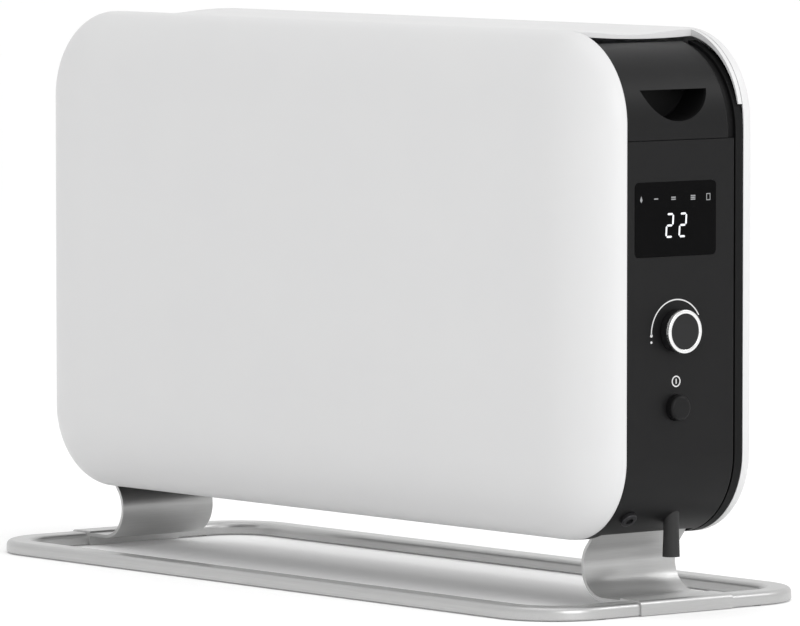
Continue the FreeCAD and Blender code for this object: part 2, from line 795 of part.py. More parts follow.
def end_frame():
    """Black channel behind the end's outer pieces, with the flange that meets the rear cover."""
    gap = s.clearance
    inset = s.insert_wall
    y = (edge_y + s.seam, rear_y - s.seam)
    base_outer = cap_slab("frame_outer", (y[0], flange_y), inset)
    base_inner = cap_slab("frame_inner", (y[0] - 1, y[1] + 1), inset + s.cap_wall)
    flange = cap_slab("frame_flange", (flange_y, y[1]))
    ring = cut("frame_ring", fuse("frame_both", base_outer, flange), base_inner)
    region = end_region("frame_region", top, bottom - 1, deck_end + s.deck_gap, cap_end, split)
    band = common("frame_band", ring, region)
    rim_outer = slab("frame_rim_outer", (rear_y - s.rim_depth - gap, rear_y + 1))
    rim_inner = slab("frame_rim_inner", (rear_y - s.rim_depth - 1, rear_y + 2), s.deck_sheet + gap)
    rim_band = box("frame_rim_band", (deck_end, half + 1), (edge_y, rear_y + 1), (top - s.rim_reach - gap, top))
    rim_room = common("frame_rim_room", cut("frame_rim", rim_outer, rim_inner), rim_band)
    webs = []
    for level in (bottom + s.low_radius + 16, split - 10):
        webs.append(box("frame_web", (chassis_end, half - inset - 1), (size(12.0), size(40.0)),
                        (level, level + s.web_sheet)))
    bosses = []
    for z in (bottom + 90, (bottom + top) / 2, top - 90):
        boss_x = half - 30
        boss = rod("frame_boss", "Y", (rear_y - 14, back_y - s.rear_sheet), (boss_x, z), s.screw_radius + 2.5)
        arm = box("frame_arm", (boss_x + 3, half - inset - 1), (rear_y - 14, rear_y - s.seam), (z - 1.5, z + 1.5))
        bosses += [boss, arm]
    solid = fuse("frame_solid", cut("frame_clear_rim", band, rim_room), *webs, *bosses)
    tools = [recess_window("frame_recess"), leg_slot("frame_leg_slot")]
    tools.append(cap_screw_hole("frame_screw", s.screw_radius))
    for z in (bottom + 90, (bottom + top) / 2, top - 90):
        tools.append(rod("frame_pilot", "Y", (rear_y - 8, back_y), (half - 30, z), s.rear_screw_radius))
    return solid, tools


def control_openings(grow):
    """Openings behind the window, the dial's shaft and the push button, in one list."""
    y, z = window_bounds(grow)
    x = (half - 12, half + 1)
    window = box("open_window", x, (y[0] + 4, y[1] - 4), (z[0] + 4, z[1] - 4))
    shaft = rod("open_shaft", "X", x, (control_y, s.dial_level), s.shaft_radius + 1 + grow)
    button = rod("open_button", "X", x, (control_y, s.button_level), s.button_radius + grow)
    return [window, shaft, button]


def window_bounds(grow):
    """Bounds of the display window across and up, grown by grow."""
    middle = -s.window_shift
    wide = s.window_width / 2 + grow
    high = s.window_height / 2 + grow
    return (middle - wide, middle + wide), (s.window_level - high, s.window_level + high)


def end_frames():
    """Left and right frames; the right one also opens behind the controls."""
    solid, tools = end_frame()
    blank = cut("frame_blank", solid, *tools)
    left = mirror("frame_mirror", blank)
    controls = control_openings(s.clearance + 2)
    boss = rod("frame_gland_boss", "Z", (bottom, gland_seat()), (gland_x, s.gland_y), s.gland_radius + 1)
    trimmed = common("frame_gland_trim", boss, cap_slab("frame_gland_room", (edge_y, rear_y), s.insert_wall))
    gland = rod("frame_gland", "Z", (bottom, bottom + 60), (gland_x, s.gland_y), s.gland_radius - 0.1)
    right = cut("frame_right", fuse("frame_bossed", blank, trimmed), *controls, gland)
    node(right, "right_end_frame")
    node(left, "left_end_frame")


def skin(name, y1, z_low, z_high, x_top, x_low):
    """Outer piece of an end: the cap outline's own thickness over one stretch, with a softened edge."""
    y = (edge_y + s.seam, y1)
    outer = cap_slab(name + "_outer", y)
    inner = cap_slab(name + "_inner", (y[0] - 1, y[1] + 1), s.insert_wall)
    ring = cut(name + "_ring", outer, inner)
    region_y = (edge_y - 1, rear_y + 1)
    upper = box(name + "_region_top", (x_top, half + 1), region_y, (split - 60, z_high))
    if z_low.value < split.value - 60:
        lower = box(name + "_region_low", (x_low, half + 1), region_y, (z_low, split - 60))
        region = fuse(name + "_region", upper, lower)
    else:
        bind(upper, Height=z_high - z_low, Placement__Base__z=z_low)
        region = upper
    band = common(name + "_band", ring, region)

    def outer_edge(edge):
        bounds = edge.BoundBox
        middle = edge.valueAt((edge.FirstParameter + edge.LastParameter) / 2)
        long_enough = bounds.DiagonalLength > s.insert_wall.value * 1.5
        facing = on_plane(edge, "Y", y1) or on_plane(edge, "X", x_top)
        return facing and long_enough and outline_inset(middle) < 0.05

    return soften(name + "_soft", band, s.insert_edge, outer_edge)


def outline_inset(point):
    """How far a point lies inside the end caps' outline, on the right-hand end."""
    x, z = point.x, point.z
    for radius, centre_z, above in (
        (s.cap_top_radius.value, cap_top.value - s.cap_top_radius.value, 1),
        (s.low_radius.value, bottom.value + s.low_radius.value, -1),
    ):
        centre_x = half.value - radius
        if x > centre_x and (z - centre_z) * above > 0:
            return radius - math.hypot(x - centre_x, z - centre_z)
    return min(half.value - x, z - bottom.value, cap_top.value - z)


def handle_panels():
    """Upper end pieces, each with its finger recess."""
    y1 = flange_y - s.seam - s.handle_setback
    band = skin("handle", y1, split + s.seam / 2, top, deck_end + s.deck_gap, deck_end)
    right = cut("handle_cut", band, recess_solid("handle_recess", size(0.0), (half - s.cup_depth, half + 5)))
    node(right, "right_handle_panel")
    node(mirror("handle_left", right), "left_handle_panel")


def handle_cups():
    """Cups behind the finger recesses, their rims against the backs of the panels."""
    inner_x = half - s.cup_depth
    outer = recess_solid("cup_outer", s.cup_wall, (inner_x - s.cup_wall, half))
    inner = recess_solid("cup_inner", size(0.0), (inner_x, half + 1))
    shell = cut("cup_shell", outer, inner)
    right = common("cup", shell, cap_slab("cup_limit", (edge_y, rear_y), s.insert_wall))
    node(right, "right_handle_cup")
    node(mirror("cup_left", right), "left_handle_cup")


def fascias():
    """Lower end pieces: the right one carries the controls, the left one is plain."""
    y1 = flange_y - s.seam
    band = skin("fascia", y1, bottom - 1, split - s.seam / 2, deck_end, cap_end)
    blank = cut("fascia_blank", band, leg_slot("fascia_leg_slot"), cap_screw_hole("fascia_screw", s.screw_radius + 0.2))
    node(mirror("fascia_left", blank), "left_fascia")
    y, z = window_bounds(size(0.15))
    recess = rounded_block("fascia_window", (half - s.window_glass, half + 1), y, z, s.window_corner)
    gland = rod("fascia_gland", "Z", (bottom, bottom + 60), (gland_x, s.gland_y), s.gland_radius)
    right = cut("fascia_right", blank, recess, gland, *control_openings(s.clearance))
    node(right, "control_fascia")


def rounded_block(name, x, y, z, radius):
    """Block along X with rounded corners."""
    return prism(name, "X", x, lambda sketch: draw_rounded(sketch, y, z, (radius, radius)))


def on_cap_axis(name, kind, out, height):
    """Primitive on the cap screw's axis: it starts out from the casing's surface and runs outwards."""
    x, z, y = cap_screw_axis()
    made = doc.addObject(kind, name)
    bind(made, Height=height)
    made.Placement = FreeCAD.Placement(FreeCAD.Vector(), CAP_TURN)
    bind(made, Placement__Base__x=x + out * LEAN, Placement__Base__y=y, Placement__Base__z=z - out * LEAN)
    return made


def cap_screw_hole(name, radius):
    """Hole along the cap screw's axis."""
    made = on_cap_axis(name, "Part::Cylinder", size(-10.0), size(20.0))
    bind(made, Radius=radius)
    return made


def cap_screws():
    """Black round-headed socket screws on the lower corners, one each end."""
    grip = s.insert_wall + s.cap_wall + 2
    shank = on_cap_axis("cap_shank", "Part::Cylinder", -grip, grip)
    bind(shank, Radius=s.screw_radius)
    head = on_cap_axis("cap_head", "Part::Cylinder", size(0.0), s.cap_head_height)
    bind(head, Radius=s.cap_head_radius)
    socket = on_cap_axis("cap_socket", "Part::Prism", s.cap_head_height / 2, s.cap_head_height)
    socket.Polygon = 6
    bind(socket, Circumradius=s.cap_head_radius / 2)
    rounded = soften("cap_screw_round", fuse("cap_screw_blank", shank, head), 1.2, is_outer_rim)
    right = cut("cap_screw", rounded, socket)
    return node(group("cap_screw_pair", right, mirror("cap_screw_left", right)), "cap_screws")


def is_outer_rim(edge):
    """True for the outermost circle of the cap screw's head."""
    x, z, _y = cap_screw_axis()
    if not hasattr(edge.Curve, "Radius") or edge.Curve.Radius < s.cap_head_radius.value - 0.1:
        return False
    centre = edge.Curve.Center
    out = ((centre.x - x.value) - (centre.z - z.value)) * LEAN
    return out > s.cap_head_height.value / 2


# ---------------------------------------------------------------- controls
def display_window():
    """Smoked glossy window let into the fascia."""
    y, z = window_bounds(size(0.0))
    glass = rounded_block("window", (half - s.window_glass, half + 0.3), y, z, s.window_corner)
    soft = soften("window_soft", glass, 0.25, lambda edge: on_plane(edge, "X", half + 0.3))
    return node(soft, "display_window")


def display_board():
    """Circuit board behind the window with its digit module and lamp strip."""
    y, z = window_bounds(size(1.0))
    x0 = half - s.insert_wall - s.cap_wall
    x1 = half - s.window_glass - 0.6
    board = box("display_pcb", (x0 - 1.6, x0), y, z)
    middle = -s.window_shift
    digits = box("display_digits", (x0 - 0.1, x1), (middle - 14, middle + 14),
                 (s.window_level - 18, s.window_level + 6))
    lamps = box("display_lamps", (x0 - 0.1, x1), (y[0] + 7, y[1] - 7), (z[1] - 15, z[1] - 9))
    chip = box("display_chip", (x0 - 3, x0 - 1.6), (middle - 5, middle + 5), (z[0] + 6, z[0] + 16))
    return node(fuse("display_parts", board, digits, lamps, chip), "display_board")


def dial():
    """Turning knob, its bright ring, its shaft and the encoder that the shaft turns in."""
    spot = (control_y, s.dial_level)
    face = half + s.dial_reach
    inner = s.dial_radius - s.dial_ring
    body = rod("knob_body", "X", (half + 0.8, face - 0.6), spot, inner)
    foot = rod("knob_foot", "X", (half + 0.8, face - s.ring_depth), spot, s.dial_radius - 0.5)
    bore = rod("knob_bore", "X", (half, half + 6), spot, s.shaft_radius)
    knob = cut("knob", fuse("knob_blank", body, foot), bore)
    soft = soften("knob_soft", knob, 0.6, lambda edge: on_plane(edge, "X", face - 0.6))
    node(soft, "dial_knob")
    tube = rod("ring_outer", "X", (face - s.ring_depth, face), spot, s.dial_radius)
    room = rod("ring_inner", "X", (face - s.ring_depth - 1, face + 1), spot, inner)
    ring = soften("ring_soft", cut("ring", tube, room), 1.2, lambda edge: on_plane(edge, "X", face))
    node(ring, "dial_ring")
    encoder_x = half - s.insert_wall - s.cap_wall
    node(rod("dial_spindle", "X", (encoder_x - 5, half + 6), spot, s.shaft_radius), "dial_shaft")
    block = box("encoder_block", (encoder_x - 7, encoder_x), (control_y - 9, control_y + 9),
                (s.dial_level - 9, s.dial_level + 9))
    hole = rod("encoder_hole", "X", (encoder_x - 5.2, encoder_x + 1), spot, s.shaft_radius + s.running)
    board = box("encoder_board", (encoder_x - 8.6, encoder_x - 7), (control_y - 14, control_y + 14),
                (s.dial_level - 16, s.dial_level + 16))
    node(fuse("encoder", cut("encoder_case", block, hole), board), "encoder_body")


def power_button():
    """Round push button and the switch module behind it."""
    spot = (control_y, s.button_level)
    stem_end = half - s.insert_wall - 8
    cap = rod("button_cap", "X", (half - 6, half + s.button_reach), spot, s.button_radius)
    stem = rod("button_stem", "X", (stem_end, half - 6), spot, 3.0)
    soft = soften("button_soft", fuse("button", cap, stem), 2.6,
                  lambda edge: on_plane(edge, "X", half + s.button_reach))
    node(soft, "power_button")
    case_x1 = half - 6 - s.button_travel - 0.5
    seat_x = half - s.insert_wall - s.cap_wall
    case = rod("switch_case", "X", (case_x1 - 18, seat_x), spot, s.button_radius + 5)
    well = rod("switch_well", "X", (case_x1, seat_x + 1), spot, s.button_radius + s.clearance)
    bore = rod("switch_bore", "X", (stem_end - s.button_travel - 1, case_x1 + 1), spot, 3.0 + s.running)
    node(cut("switch", case, well, bore), "power_switch_body")


# ---------------------------------------------------------------- stand
def stand_ring(name, z, inset):
    """The stand's outline, drawn in by inset, between two heights."""
    u = (size(inset) - stand_end, stand_end - inset)
    v = (size(inset) - stand_side, stand_side - inset)
    radius = s.stand_radius - inset
    return prism(name, "Z", z, lambda sketch: draw_rounded(sketch, u, v, (radius, radius)))


def foot_spots():
    """Middle of each rubber foot."""
    x = stand_end - s.bar_width / 2
    y = stand_side - s.stand_radius - 6
    return [(x * i, y * j) for i in (-1, 1) for j in (-1, 1)]


def base_frame():
    """Closed bar round the floor line, round-shouldered, with pockets for its feet."""
    outer = stand_ring("stand_outer", (bar_low, bar_top), 0.0)
    inner = stand_ring("stand_inner", (bar_low - 1, bar_top + 1), s.bar_width)
    bar = cut("stand_bar", outer, inner)
    shoulders = soften("stand_soft", bar, s.bar_round, lambda edge: on_plane(edge, "Z", bar_top))
    lower = soften("stand_lower", shoulders, s.bar_round / 3, lambda edge: on_plane(edge, "Z", bar_low))
    room = s.foot_height - s.foot_reach
    pockets = [rod("foot_pocket", "Z", (bar_low - 1, bar_low + room), spot, s.foot_radius) for spot in foot_spots()]
    return node(cut("stand", lower, *pockets), "base_frame")


def rubber_feet():
    """Four round pads pressed into the stand's pockets."""
    pads = [rod("pad", "Z", (size(0.0), s.foot_height), spot, s.foot_radius) for spot in foot_spots()]
    return node(group("pads", *pads), "rubber_feet")


def leg_knee():
    """Middle of the quarter bend at the foot of the right leg."""
    return leg_waist + s.leg_bend, bar_top - s.leg_seat + s.leg_bend


def leg_face_x(level, inward):
    """X of the leaning part of the right leg's blade at a height, inward from its outer face."""
    middle, knee = leg_knee()
    radius = s.leg_bend - inward
    lean_sine, lean_cosine = sine(s.leg_angle), cosine(s.leg_angle)
    rise = level - knee - radius * lean_sine
    return middle - radius * lean_cosine + rise * lean_sine / lean_cosine


def leg_spots():
    """Corners of the right leg's section, in order."""
    middle, knee = leg_knee()
    low = knee - s.leg_bend
    end = stand_end - s.bar_width
    under = chassis_low - s.leg_sheet
    tip = cap_end + s.clearance * 2
    inner = s.leg_bend - s.leg_sheet
    outer_turn = (middle - s.leg_bend * cosine(s.leg_angle), knee + s.leg_bend * sine(s.leg_angle))
    inner_turn = (middle - inner * cosine(s.leg_angle), knee + inner * sine(s.leg_angle))
    spots = [(end, low), (middle, low), outer_turn, (leg_face_x(under, size(0.0)), under)]
    spots += [(tip, under), (tip, chassis_low), (leg_face_x(chassis_low, s.leg_sheet), chassis_low), inner_turn]
    spots += [(middle, low + s.leg_sheet), (end, low + s.leg_sheet)]
    return spots


def leg_profile(sketch):
    """Right leg's section: two parallel contours that lean from concentric arcs at the bend.

    Side i runs from spot i to the next one.  Side 1 is the outer arc and side 7 the inner one.
    """
    spots, centre = leg_spots(), leg_knee()
    arcs = {1: s.leg_bend, 7: s.leg_bend - s.leg_sheet}
    count = len(spots)
    flat = [FreeCAD.Vector(size(u).value, size(v).value, 0) for u, v in spots]
    middle = FreeCAD.Vector(centre[0].value, centre[1].value, 0)
    for i in range(count):
        if i in arcs:
            circle = Part.Circle(middle, FreeCAD.Vector(0, 0, 1), arcs[i].value)
            turn = math.radians(180 - s.leg_angle.value)
            sketch.addGeometry(Part.ArcOfCircle(circle, turn, math.pi * 1.5), False)
        else:
            sketch.addGeometry(Part.LineSegment(flat[i], flat[(i + 1) % count]), False)
    # an arc runs anticlockwise, so side 1 is drawn from its end to its start
    first = {i: 2 if i == 1 else 1 for i in range(count)}
    last = {i: 3 - first[i] for i in range(count)}
    for i in range(count):
        after = (i + 1) % count
        sketch.addConstraint(Sketcher.Constraint("Coincident", i, last[i], after, first[after]))
    for i, (u, v) in enumerate(spots):
        if i not in (2, 8):
            pin_point(sketch, i, first[i], u, v)
    for i in arcs:
        pin_point(sketch, i, 3, *centre)
    for side, kind, amount in ((1, "DistanceY", spots[2][1]), (7, "DistanceX", spots[8][0])):
        rule = Sketcher.Constraint(kind, -1, 1, side, last[side], amount.value)
        sketch.setExpression("Constraints[%d]" % sketch.addConstraint(rule), amount.text)


def legs():
    """Bent aluminium legs: each hooks over the stand's end bar and bolts under the chassis."""
    blade = prism("leg_blade", "Y", (leg_y0, leg_y1), leg_profile)
    saddle_x = (stand_end - s.bar_width - s.leg_sheet, stand_end + s.saddle_sheet)
    y = (leg_y0, leg_y1)
    block = box("saddle_block", saddle_x, y, (bar_low, bar_top + s.saddle_sheet))
    crown = bar_top + s.saddle_sheet
    rounded = soften("saddle_round", block, s.bar_round,
                     lambda edge: on_plane(edge, "Z", crown) and on_plane(edge, "X", saddle_x[1]))
    outer = stand_ring("saddle_outer", (bar_low - 1, bar_top), 0.0)
    inner = stand_ring("saddle_inner", (bar_low - 2, bar_top + 1), s.bar_width)
    bar = soften("saddle_bar", cut("saddle_room", outer, inner), s.bar_round,
                 lambda edge: on_plane(edge, "Z", bar_top))
    saddle = cut("saddle", rounded, bar)
    holes = [rod("leg_hole", "Z", (chassis_low - 10, chassis_low + 1), spot, s.screw_radius + 0.2)
             for spot in leg_screw_spots()[2:]]
    right = cut("leg_right", fuse("leg_joined", blade, saddle), *holes)
    node(right, "right_leg")
    node(mirror("leg_left", right), "left_leg")


def leg_fasteners():
    """Screws up through the leg flanges, with nuts inside the chassis."""
    screws, nuts = [], []
    for spot in leg_screw_spots():
        under = chassis_low - s.leg_sheet
        head = rod("leg_head", "Z", (under - 3, under), spot, s.screw_radius + 2)
        shank = rod("leg_shank", "Z", (under - 0.1, chassis_low + 7), spot, s.screw_radius)
        screws.append(fuse("leg_screw", head, shank))
        z = (chassis_low + s.chassis_sheet, chassis_low + s.chassis_sheet + 4)
        block = doc.addObject("Part::Prism", "nut_block")
        block.Polygon = 6
        bind(block, Circumradius=s.screw_radius * 1.85, Height=z[1] - z[0])
        place(block, "Z", z[0], spot)
        thread = rod("nut_thread", "Z", (z[0] - 1, z[1] + 1), spot, s.screw_radius)
        nuts.append(cut("nut", block, thread))
    node(group("leg_screw_set", *screws), "leg_screws")
    node(group("leg_nut_set", *nuts), "leg_nuts")


# ---------------------------------------------------------------- mains inlet
def gland_top():
    """Height at which the gland's axis meets the lower corner of the casing."""
    away = gland_x - (half - s.low_radius)
    return bottom + s.low_radius - root(s.low_radius * s.low_radius - away * away)


def gland_seat():
    """Height of the boss that the gland's collar rests on."""
    return gland_top() + 20


def cord_gland():
    """Black strain-relief sleeve that hangs from the lower corner, bored for the mains cord."""
    spot = (gland_x, s.gland_y)
    lower = gland_top() - s.gland_drop + 1
    sleeve = rod("gland_sleeve", "Z", (gland_top() - 8, gland_seat()), spot, s.gland_radius - 0.1)
    flare = cone("gland_flare", "Z", (lower, gland_top() - 8), spot, (s.gland_radius + 0.6, s.gland_radius - 0.1))
    flange = rod("gland_flange", "Z", (gland_seat(), gland_seat() + 3), spot, s.gland_radius + 0.9)
    bore = rod("gland_bore", "Z", (lower - 1, gland_seat() + 4), spot, s.cord_radius)
    relief = rod("gland_relief", "Z", (lower + s.gland_neck, gland_seat() + 4), spot, s.cord_radius + 0.9)
    return node(cut("gland", fuse("gland_blank", sleeve, flare, flange), bore, relief), "cord_gland")


def terminal_parts():
    """Cord clamp above the gland and the terminal block beside it."""
    z = gland_top() + 26
    x, y = gland_x, s.gland_y
    saddle = box("clamp_block", (chassis_end, x + 8), (y - 8, y + 8), (z, z + 8))
    groove = rod("clamp_groove", "Z", (z - 1, z + 9), (x, y), s.cord_radius)
    node(cut("clamp", saddle, groove), "cord_clamp")
    low = z + 14
    block = box("terminal_case", (chassis_end, chassis_end + 18), (size(-22.0), size(22.0)), (low, low + 16))
    wells = [rod("terminal_well", "X", (chassis_end + 8, chassis_end + 19), (size(away), low + 8), 2.6)
             for away in (-14.0, 0.0, 14.0)]
    node(cut("terminal", block, *wells), "terminal_block")


# ---------------------------------------------------------------- fan
def fan_rotor():
    """Tangential fan wheel: forward-curved blades between two end discs."""
    body = doc.addObject("PartDesign::Body", "rotor")
    bind(body, Placement__Base__y=s.fan_y, Placement__Base__z=s.fan_level)
    ends = s.fan_length / 2

    def disc(name, low):
        sketch = sketch_on(body, name + "_sketch", "X", low)
        draw_circle(sketch, 0.0, 0.0, s.fan_radius)
        draw_circle(sketch, 0.0, 0.0, s.fan_axle)
        pad = body.newObject("PartDesign::Pad", name)
        pad.Profile = sketch
        bind(pad, Length=size(2.0))
        return pad

    disc("disc_left", -ends)
    sketch = sketch_on(body, "blade_sketch", "X", -ends)
    outer = s.fan_radius - 0.4
    inner = s.fan_radius - s.fan_blade
    draw_polygon(sketch, [(inner, 0.0), (outer, 3.0), (outer, 4.0), (inner, 1.0)])
    blade = body.newObject("PartDesign::Pad", "blade")
    blade.Profile = sketch
    bind(blade, Length=s.fan_length)
    pattern = body.newObject("PartDesign::PolarPattern", "blades")
    pattern.Originals = [blade]
    axis = [f for f in body.Origin.OriginFeatures if f.Role == "X_Axis"][0]
    pattern.Axis = (axis, [""])
    pattern.Angle = 360
    pattern.Occurrences = BLADES
    body.Tip = pattern
    doc.recompute()
    body.Tip = disc("disc_right", ends - 2)
    return node(body, "fan_rotor")


def fan_drive():
    """Axle, motor and the bush that carries the far end of the axle."""
    spot = (s.fan_y, s.fan_level)
    plate = s.fan_length / 2 + s.fan_room
    left = (-plate - 10, -plate)
    motor_x = (plate + s.chassis_sheet, plate + s.chassis_sheet + s.motor_length)
    node(rod("axle", "X", (left[0] + 2, motor_x[1] - 6), spot, s.fan_axle), "fan_shaft")
    bush = rod("bush", "X", (left[0], left[1] - s.chassis_sheet), spot, s.fan_axle + 7)
    hole = rod("bush_hole", "X", (left[0] + 1, left[1] + 1), spot, s.fan_axle + s.running)
    node(cut("bush_cut", bush, hole), "fan_bearing")
    can = rod("motor_can", "X", motor_x, spot, s.motor_radius)
    core = box("motor_core", (motor_x[0] + 8, motor_x[1] - 8), (s.fan_y - 32, s.fan_y + 32),
               (s.fan_level - 29, s.fan_level + 29))
    bore = rod("motor_bore", "X", (motor_x[0] - 1, motor_x[1] - 5.5), spot, s.fan_axle + s.running)
    node(cut("motor", fuse("motor_blank", can, core), bore), "fan_motor")


def fan_housing():
    """Sheet scroll round the back of the wheel, a front lip and two end plates."""
    spot = (s.fan_y, s.fan_level)
    plate = s.fan_length / 2 + s.fan_room
    room = s.fan_radius + s.fan_room
    outside = room + s.chassis_sheet
    x = (-plate, plate)
    rear_wall = chassis_y1 - s.chassis_sheet
    ends = []
    for low in (-plate - s.chassis_sheet, plate):
        face = box("fan_end", (low, low + s.chassis_sheet), (baffle_y, rear_wall),
                   (chassis_low + s.chassis_sheet, s.fan_level + room))
        ends.append(cut("fan_end_cut", face, rod("fan_eye", "X", (low - 1, low + 3), spot, s.fan_axle + 1)))
    front = box("fan_front", x, (baffle_y, s.fan_y - room), (s.fan_level + 6, s.fan_level + 7.2))
    back = box("fan_back", x, (s.fan_y + room, rear_wall), (s.fan_level - 7.2, s.fan_level - 6))
    hollow = rod("scroll_inner", "X", (x[0] - 1, x[1] + 1), spot, room)
    wall = cut("scroll_ring", rod("scroll_outer", "X", x, spot, outside), hollow)
    keep = box("scroll_keep", x, (s.fan_y + 5, s.fan_y + outside + 1), (s.fan_level - outside - 1, s.fan_level))
    lip_keep = box("lip_keep", x, (s.fan_y - outside - 1, s.fan_y), (s.fan_level, s.fan_level + 20))
    scroll, lip = common("scroll", wall, keep), common("lip", wall, lip_keep)
    return node(fuse("housing", *ends, front, back, scroll, lip), "fan_housing")


# ---------------------------------------------------------------- heating elements
def element(name, level):
    """Finned element: sheathed rod along X with square fins pressed on."""
    body = doc.addObject("PartDesign::Body", name)
    bind(body, Placement__Base__y=s.fan_y - 2, Placement__Base__z=level)
    reach = s.element_length / 2
    sketch = sketch_on(body, name + "_rod_sketch", "X", -reach)
    draw_circle(sketch, 0.0, 0.0, s.element_rod)
    pad = body.newObject("PartDesign::Pad", name + "_rod")
    pad.Profile = sketch
    bind(pad, Length=s.element_length)
    first = s.fin_pitch * ((FINS - 1) / 2.0)
    fin_sketch = sketch_on(body, name + "_fin_sketch", "X", -first)
    wide, high = s.fin_depth / 2, s.fin_height / 2
    draw_polygon(fin_sketch, [(-wide, -high), (wide, -high), (wide, high), (-wide, high)])
    fin = body.newObject("PartDesign::Pad", name + "_fin")
    fin.Profile = fin_sketch
    bind(fin, Length=s.fin_sheet)
    pattern = body.newObject("PartDesign::LinearPattern", name + "_fins")
    pattern.Originals = [fin]
    axis = [f for f in body.Origin.OriginFeatures if f.Role == "X_Axis"][0]
    pattern.Direction = (axis, [""])
    bind(pattern, Length=first * 2)
    pattern.Occurrences = FINS
    body.Tip = pattern
    return body


def element_levels():
    """Heights of the two elements."""
    return (s.element_level, s.element_level + s.element_pitch)


def heating_elements():
    """Two elements above the fan, one per heat setting."""
    for name, level in zip(("lower_element", "upper_element"), element_levels()):
        node(element(name, level), "heating_" + name)


def element_brackets():
    """Upright plates that the element rods pass through, and the overheat switch on one of them."""
    reach = s.element_length / 2 - 5
    y0 = baffle_y
    y1 = s.fan_y + 34
    z = (s.element_level - 25, s.element_level + s.element_pitch + 25)
    plate = box("bracket_plate", (reach - 1.2, reach), (y0, y1), z)
    foot = box("bracket_foot", (reach - 12, reach), (y0, y0 + 1.2), z)
    holes = [rod("bracket_hole", "X", (reach - 3, reach + 3), (s.fan_y - 2, level), s.element_rod)
             for level in element_levels()]
    right = cut("bracket_right", fuse("bracket_blank", plate, foot), *holes)
    node(right, "element_bracket_right")
    node(mirror("bracket_left", right), "element_bracket_left")
    middle = s.element_level + s.element_pitch / 2
    can = rod("cutout_can", "X", (reach, reach + 7), (s.fan_y - 2, middle), 8.0)
    tabs = [box("cutout_tab", (reach + 7, reach + 15), (s.fan_y - 2 + a, s.fan_y + 1 + a), (middle - 3, middle + 3))
            for a in (-5, 4)]
    node(fuse("cutout", can, *tabs), "thermal_cutout")


# ---------------------------------------------------------------- electronics
def power_board():
    """Power board on posts on the chassis side, with its relays, choke and capacitor."""
    x = (chassis_end + 8, chassis_end + 9.6)
    y = (size(-44.0), size(6.0))
    z = (split - 90, split - 15)
    board = box("power_pcb", x, y, z)
    posts = [rod("power_post", "X", (chassis_end, x[0]), (y[i] + 4 - 8 * i, z[j] + 4 - 8 * j), 2.5)
             for i in (0, 1) for j in (0, 1)]
    node(fuse("power_board_parts", board, *posts), "power_board")
    relays = [box("relay", (x[1], x[1] + 14), (y[0] + 4 + 22 * i, y[0] + 22 + 22 * i), (z[0] + 4, z[0] + 20))
              for i in (0, 1)]
    node(group("relay_pair", *relays), "relays")
    can = rod("capacitor_can", "X", (x[1], x[1] + 18), (y[0] + 12, z[1] - 14), 7.0)
    core = box("choke_core", (x[1], x[1] + 14), (y[1] - 20, y[1] - 4), (z[1] - 24, z[1] - 6))
    node(group("filter_parts", can, core), "mains_filter")


def tilt_switch():
    """Tip-over switch: a weight that hangs from a pin in a small open-bottomed case."""
    x = (chassis_end, chassis_end + 16)
    y_mid = size(-36.0)
    z = (bottom + 60, bottom + 90)
    outer = box("tilt_outer", x, (y_mid - 13, y_mid + 13), z)
    inner = box("tilt_inner", (x[0] + 1.5, x[1] - 1.5), (y_mid - 11.5, y_mid + 11.5), (z[0] + 1.5, z[1] - 1.5))
    pivot_z = z[1] - 6
    pin = rod("tilt_pin", "X", (x[0] + 1, x[1] - 1), (y_mid, pivot_z), 1.2)
    node(fuse("tilt_case", cut("tilt_shell", outer, inner), pin), "tilt_switch_body")
    hub = rod("tilt_hub", "X", (x[0] + 5, x[1] - 5), (y_mid, pivot_z), 2.6)
    arm = box("tilt_arm", (x[0] + 6, x[1] - 6), (y_mid - 1.2, y_mid + 1.2), (pivot_z - 10, pivot_z))
    weight = rod("tilt_weight", "X", (x[0] + 4, x[1] - 4), (y_mid, pivot_z - 12), 4.0)
    eye = rod("tilt_eye", "X", (x[0] + 4, x[1] - 4), (y_mid, pivot_z), 1.2 + s.running)
    node(cut("tilt_weight_cut", fuse("tilt_blank", hub, arm, weight), eye), "tilt_pendulum")


def room_sensor():
    """Air temperature bead on a clip under the chassis."""
    x = s.fan_length / 2 + 30
    clip = box("sensor_clip", (x, x + 12), (size(-44.0), size(-36.0)), (chassis_low - 5, chassis_low))
    bead = rod("sensor_bead", "X", (x - 8, x), (size(-40.0), chassis_low - 2.5), 1.8)
    return node(fuse("sensor", clip, bead), "room_sensor")


# ---------------------------------------------------------------- build, test and write
def build():
    """Make every sub-part in order."""
    front_panel()
    panel_brackets()
    chassis_frame()
    rear_baffle()
    top_hood()
    outlet_grille()
    rear_cover()
    rear_screws()
    bottom_grille()
    end_frames()
    handle_panels()
    handle_cups()
    fascias()
    cap_screws()
    display_window()
    display_board()
    dial()
    power_button()
    base_frame()
    rubber_feet()
    legs()
    leg_fasteners()
    cord_gland()
    terminal_parts()
    fan_rotor()
    fan_drive()
    fan_housing()
    heating_elements()
    element_brackets()
    power_board()
    tilt_switch()
    room_sensor()


def check_and_write():
    """Recompute, refuse anything that failed, then write one file per sub-part."""
    doc.recompute()
    for thing in doc.Objects:
        faults = [state for state in thing.State if state in ("Invalid", "Error")]
        if faults:
            raise RuntimeError("%s (%s) failed: %s" % (thing.Name, thing.Label, faults))
    for thing in nodes:
        if thing.Shape.isNull() or not thing.Shape.isValid():
            raise RuntimeError("%s has no valid shape" % thing.Label)
    os.makedirs("parts", exist_ok=True)
    for thing in nodes:
        thing.Shape.exportStep("parts/%s.step" % thing.Label)
        print("%-24s solids %2d  volume %12.1f" % (thing.Label, len(thing.Shape.Solids), thing.Shape.Volume))


build()
check_and_write()
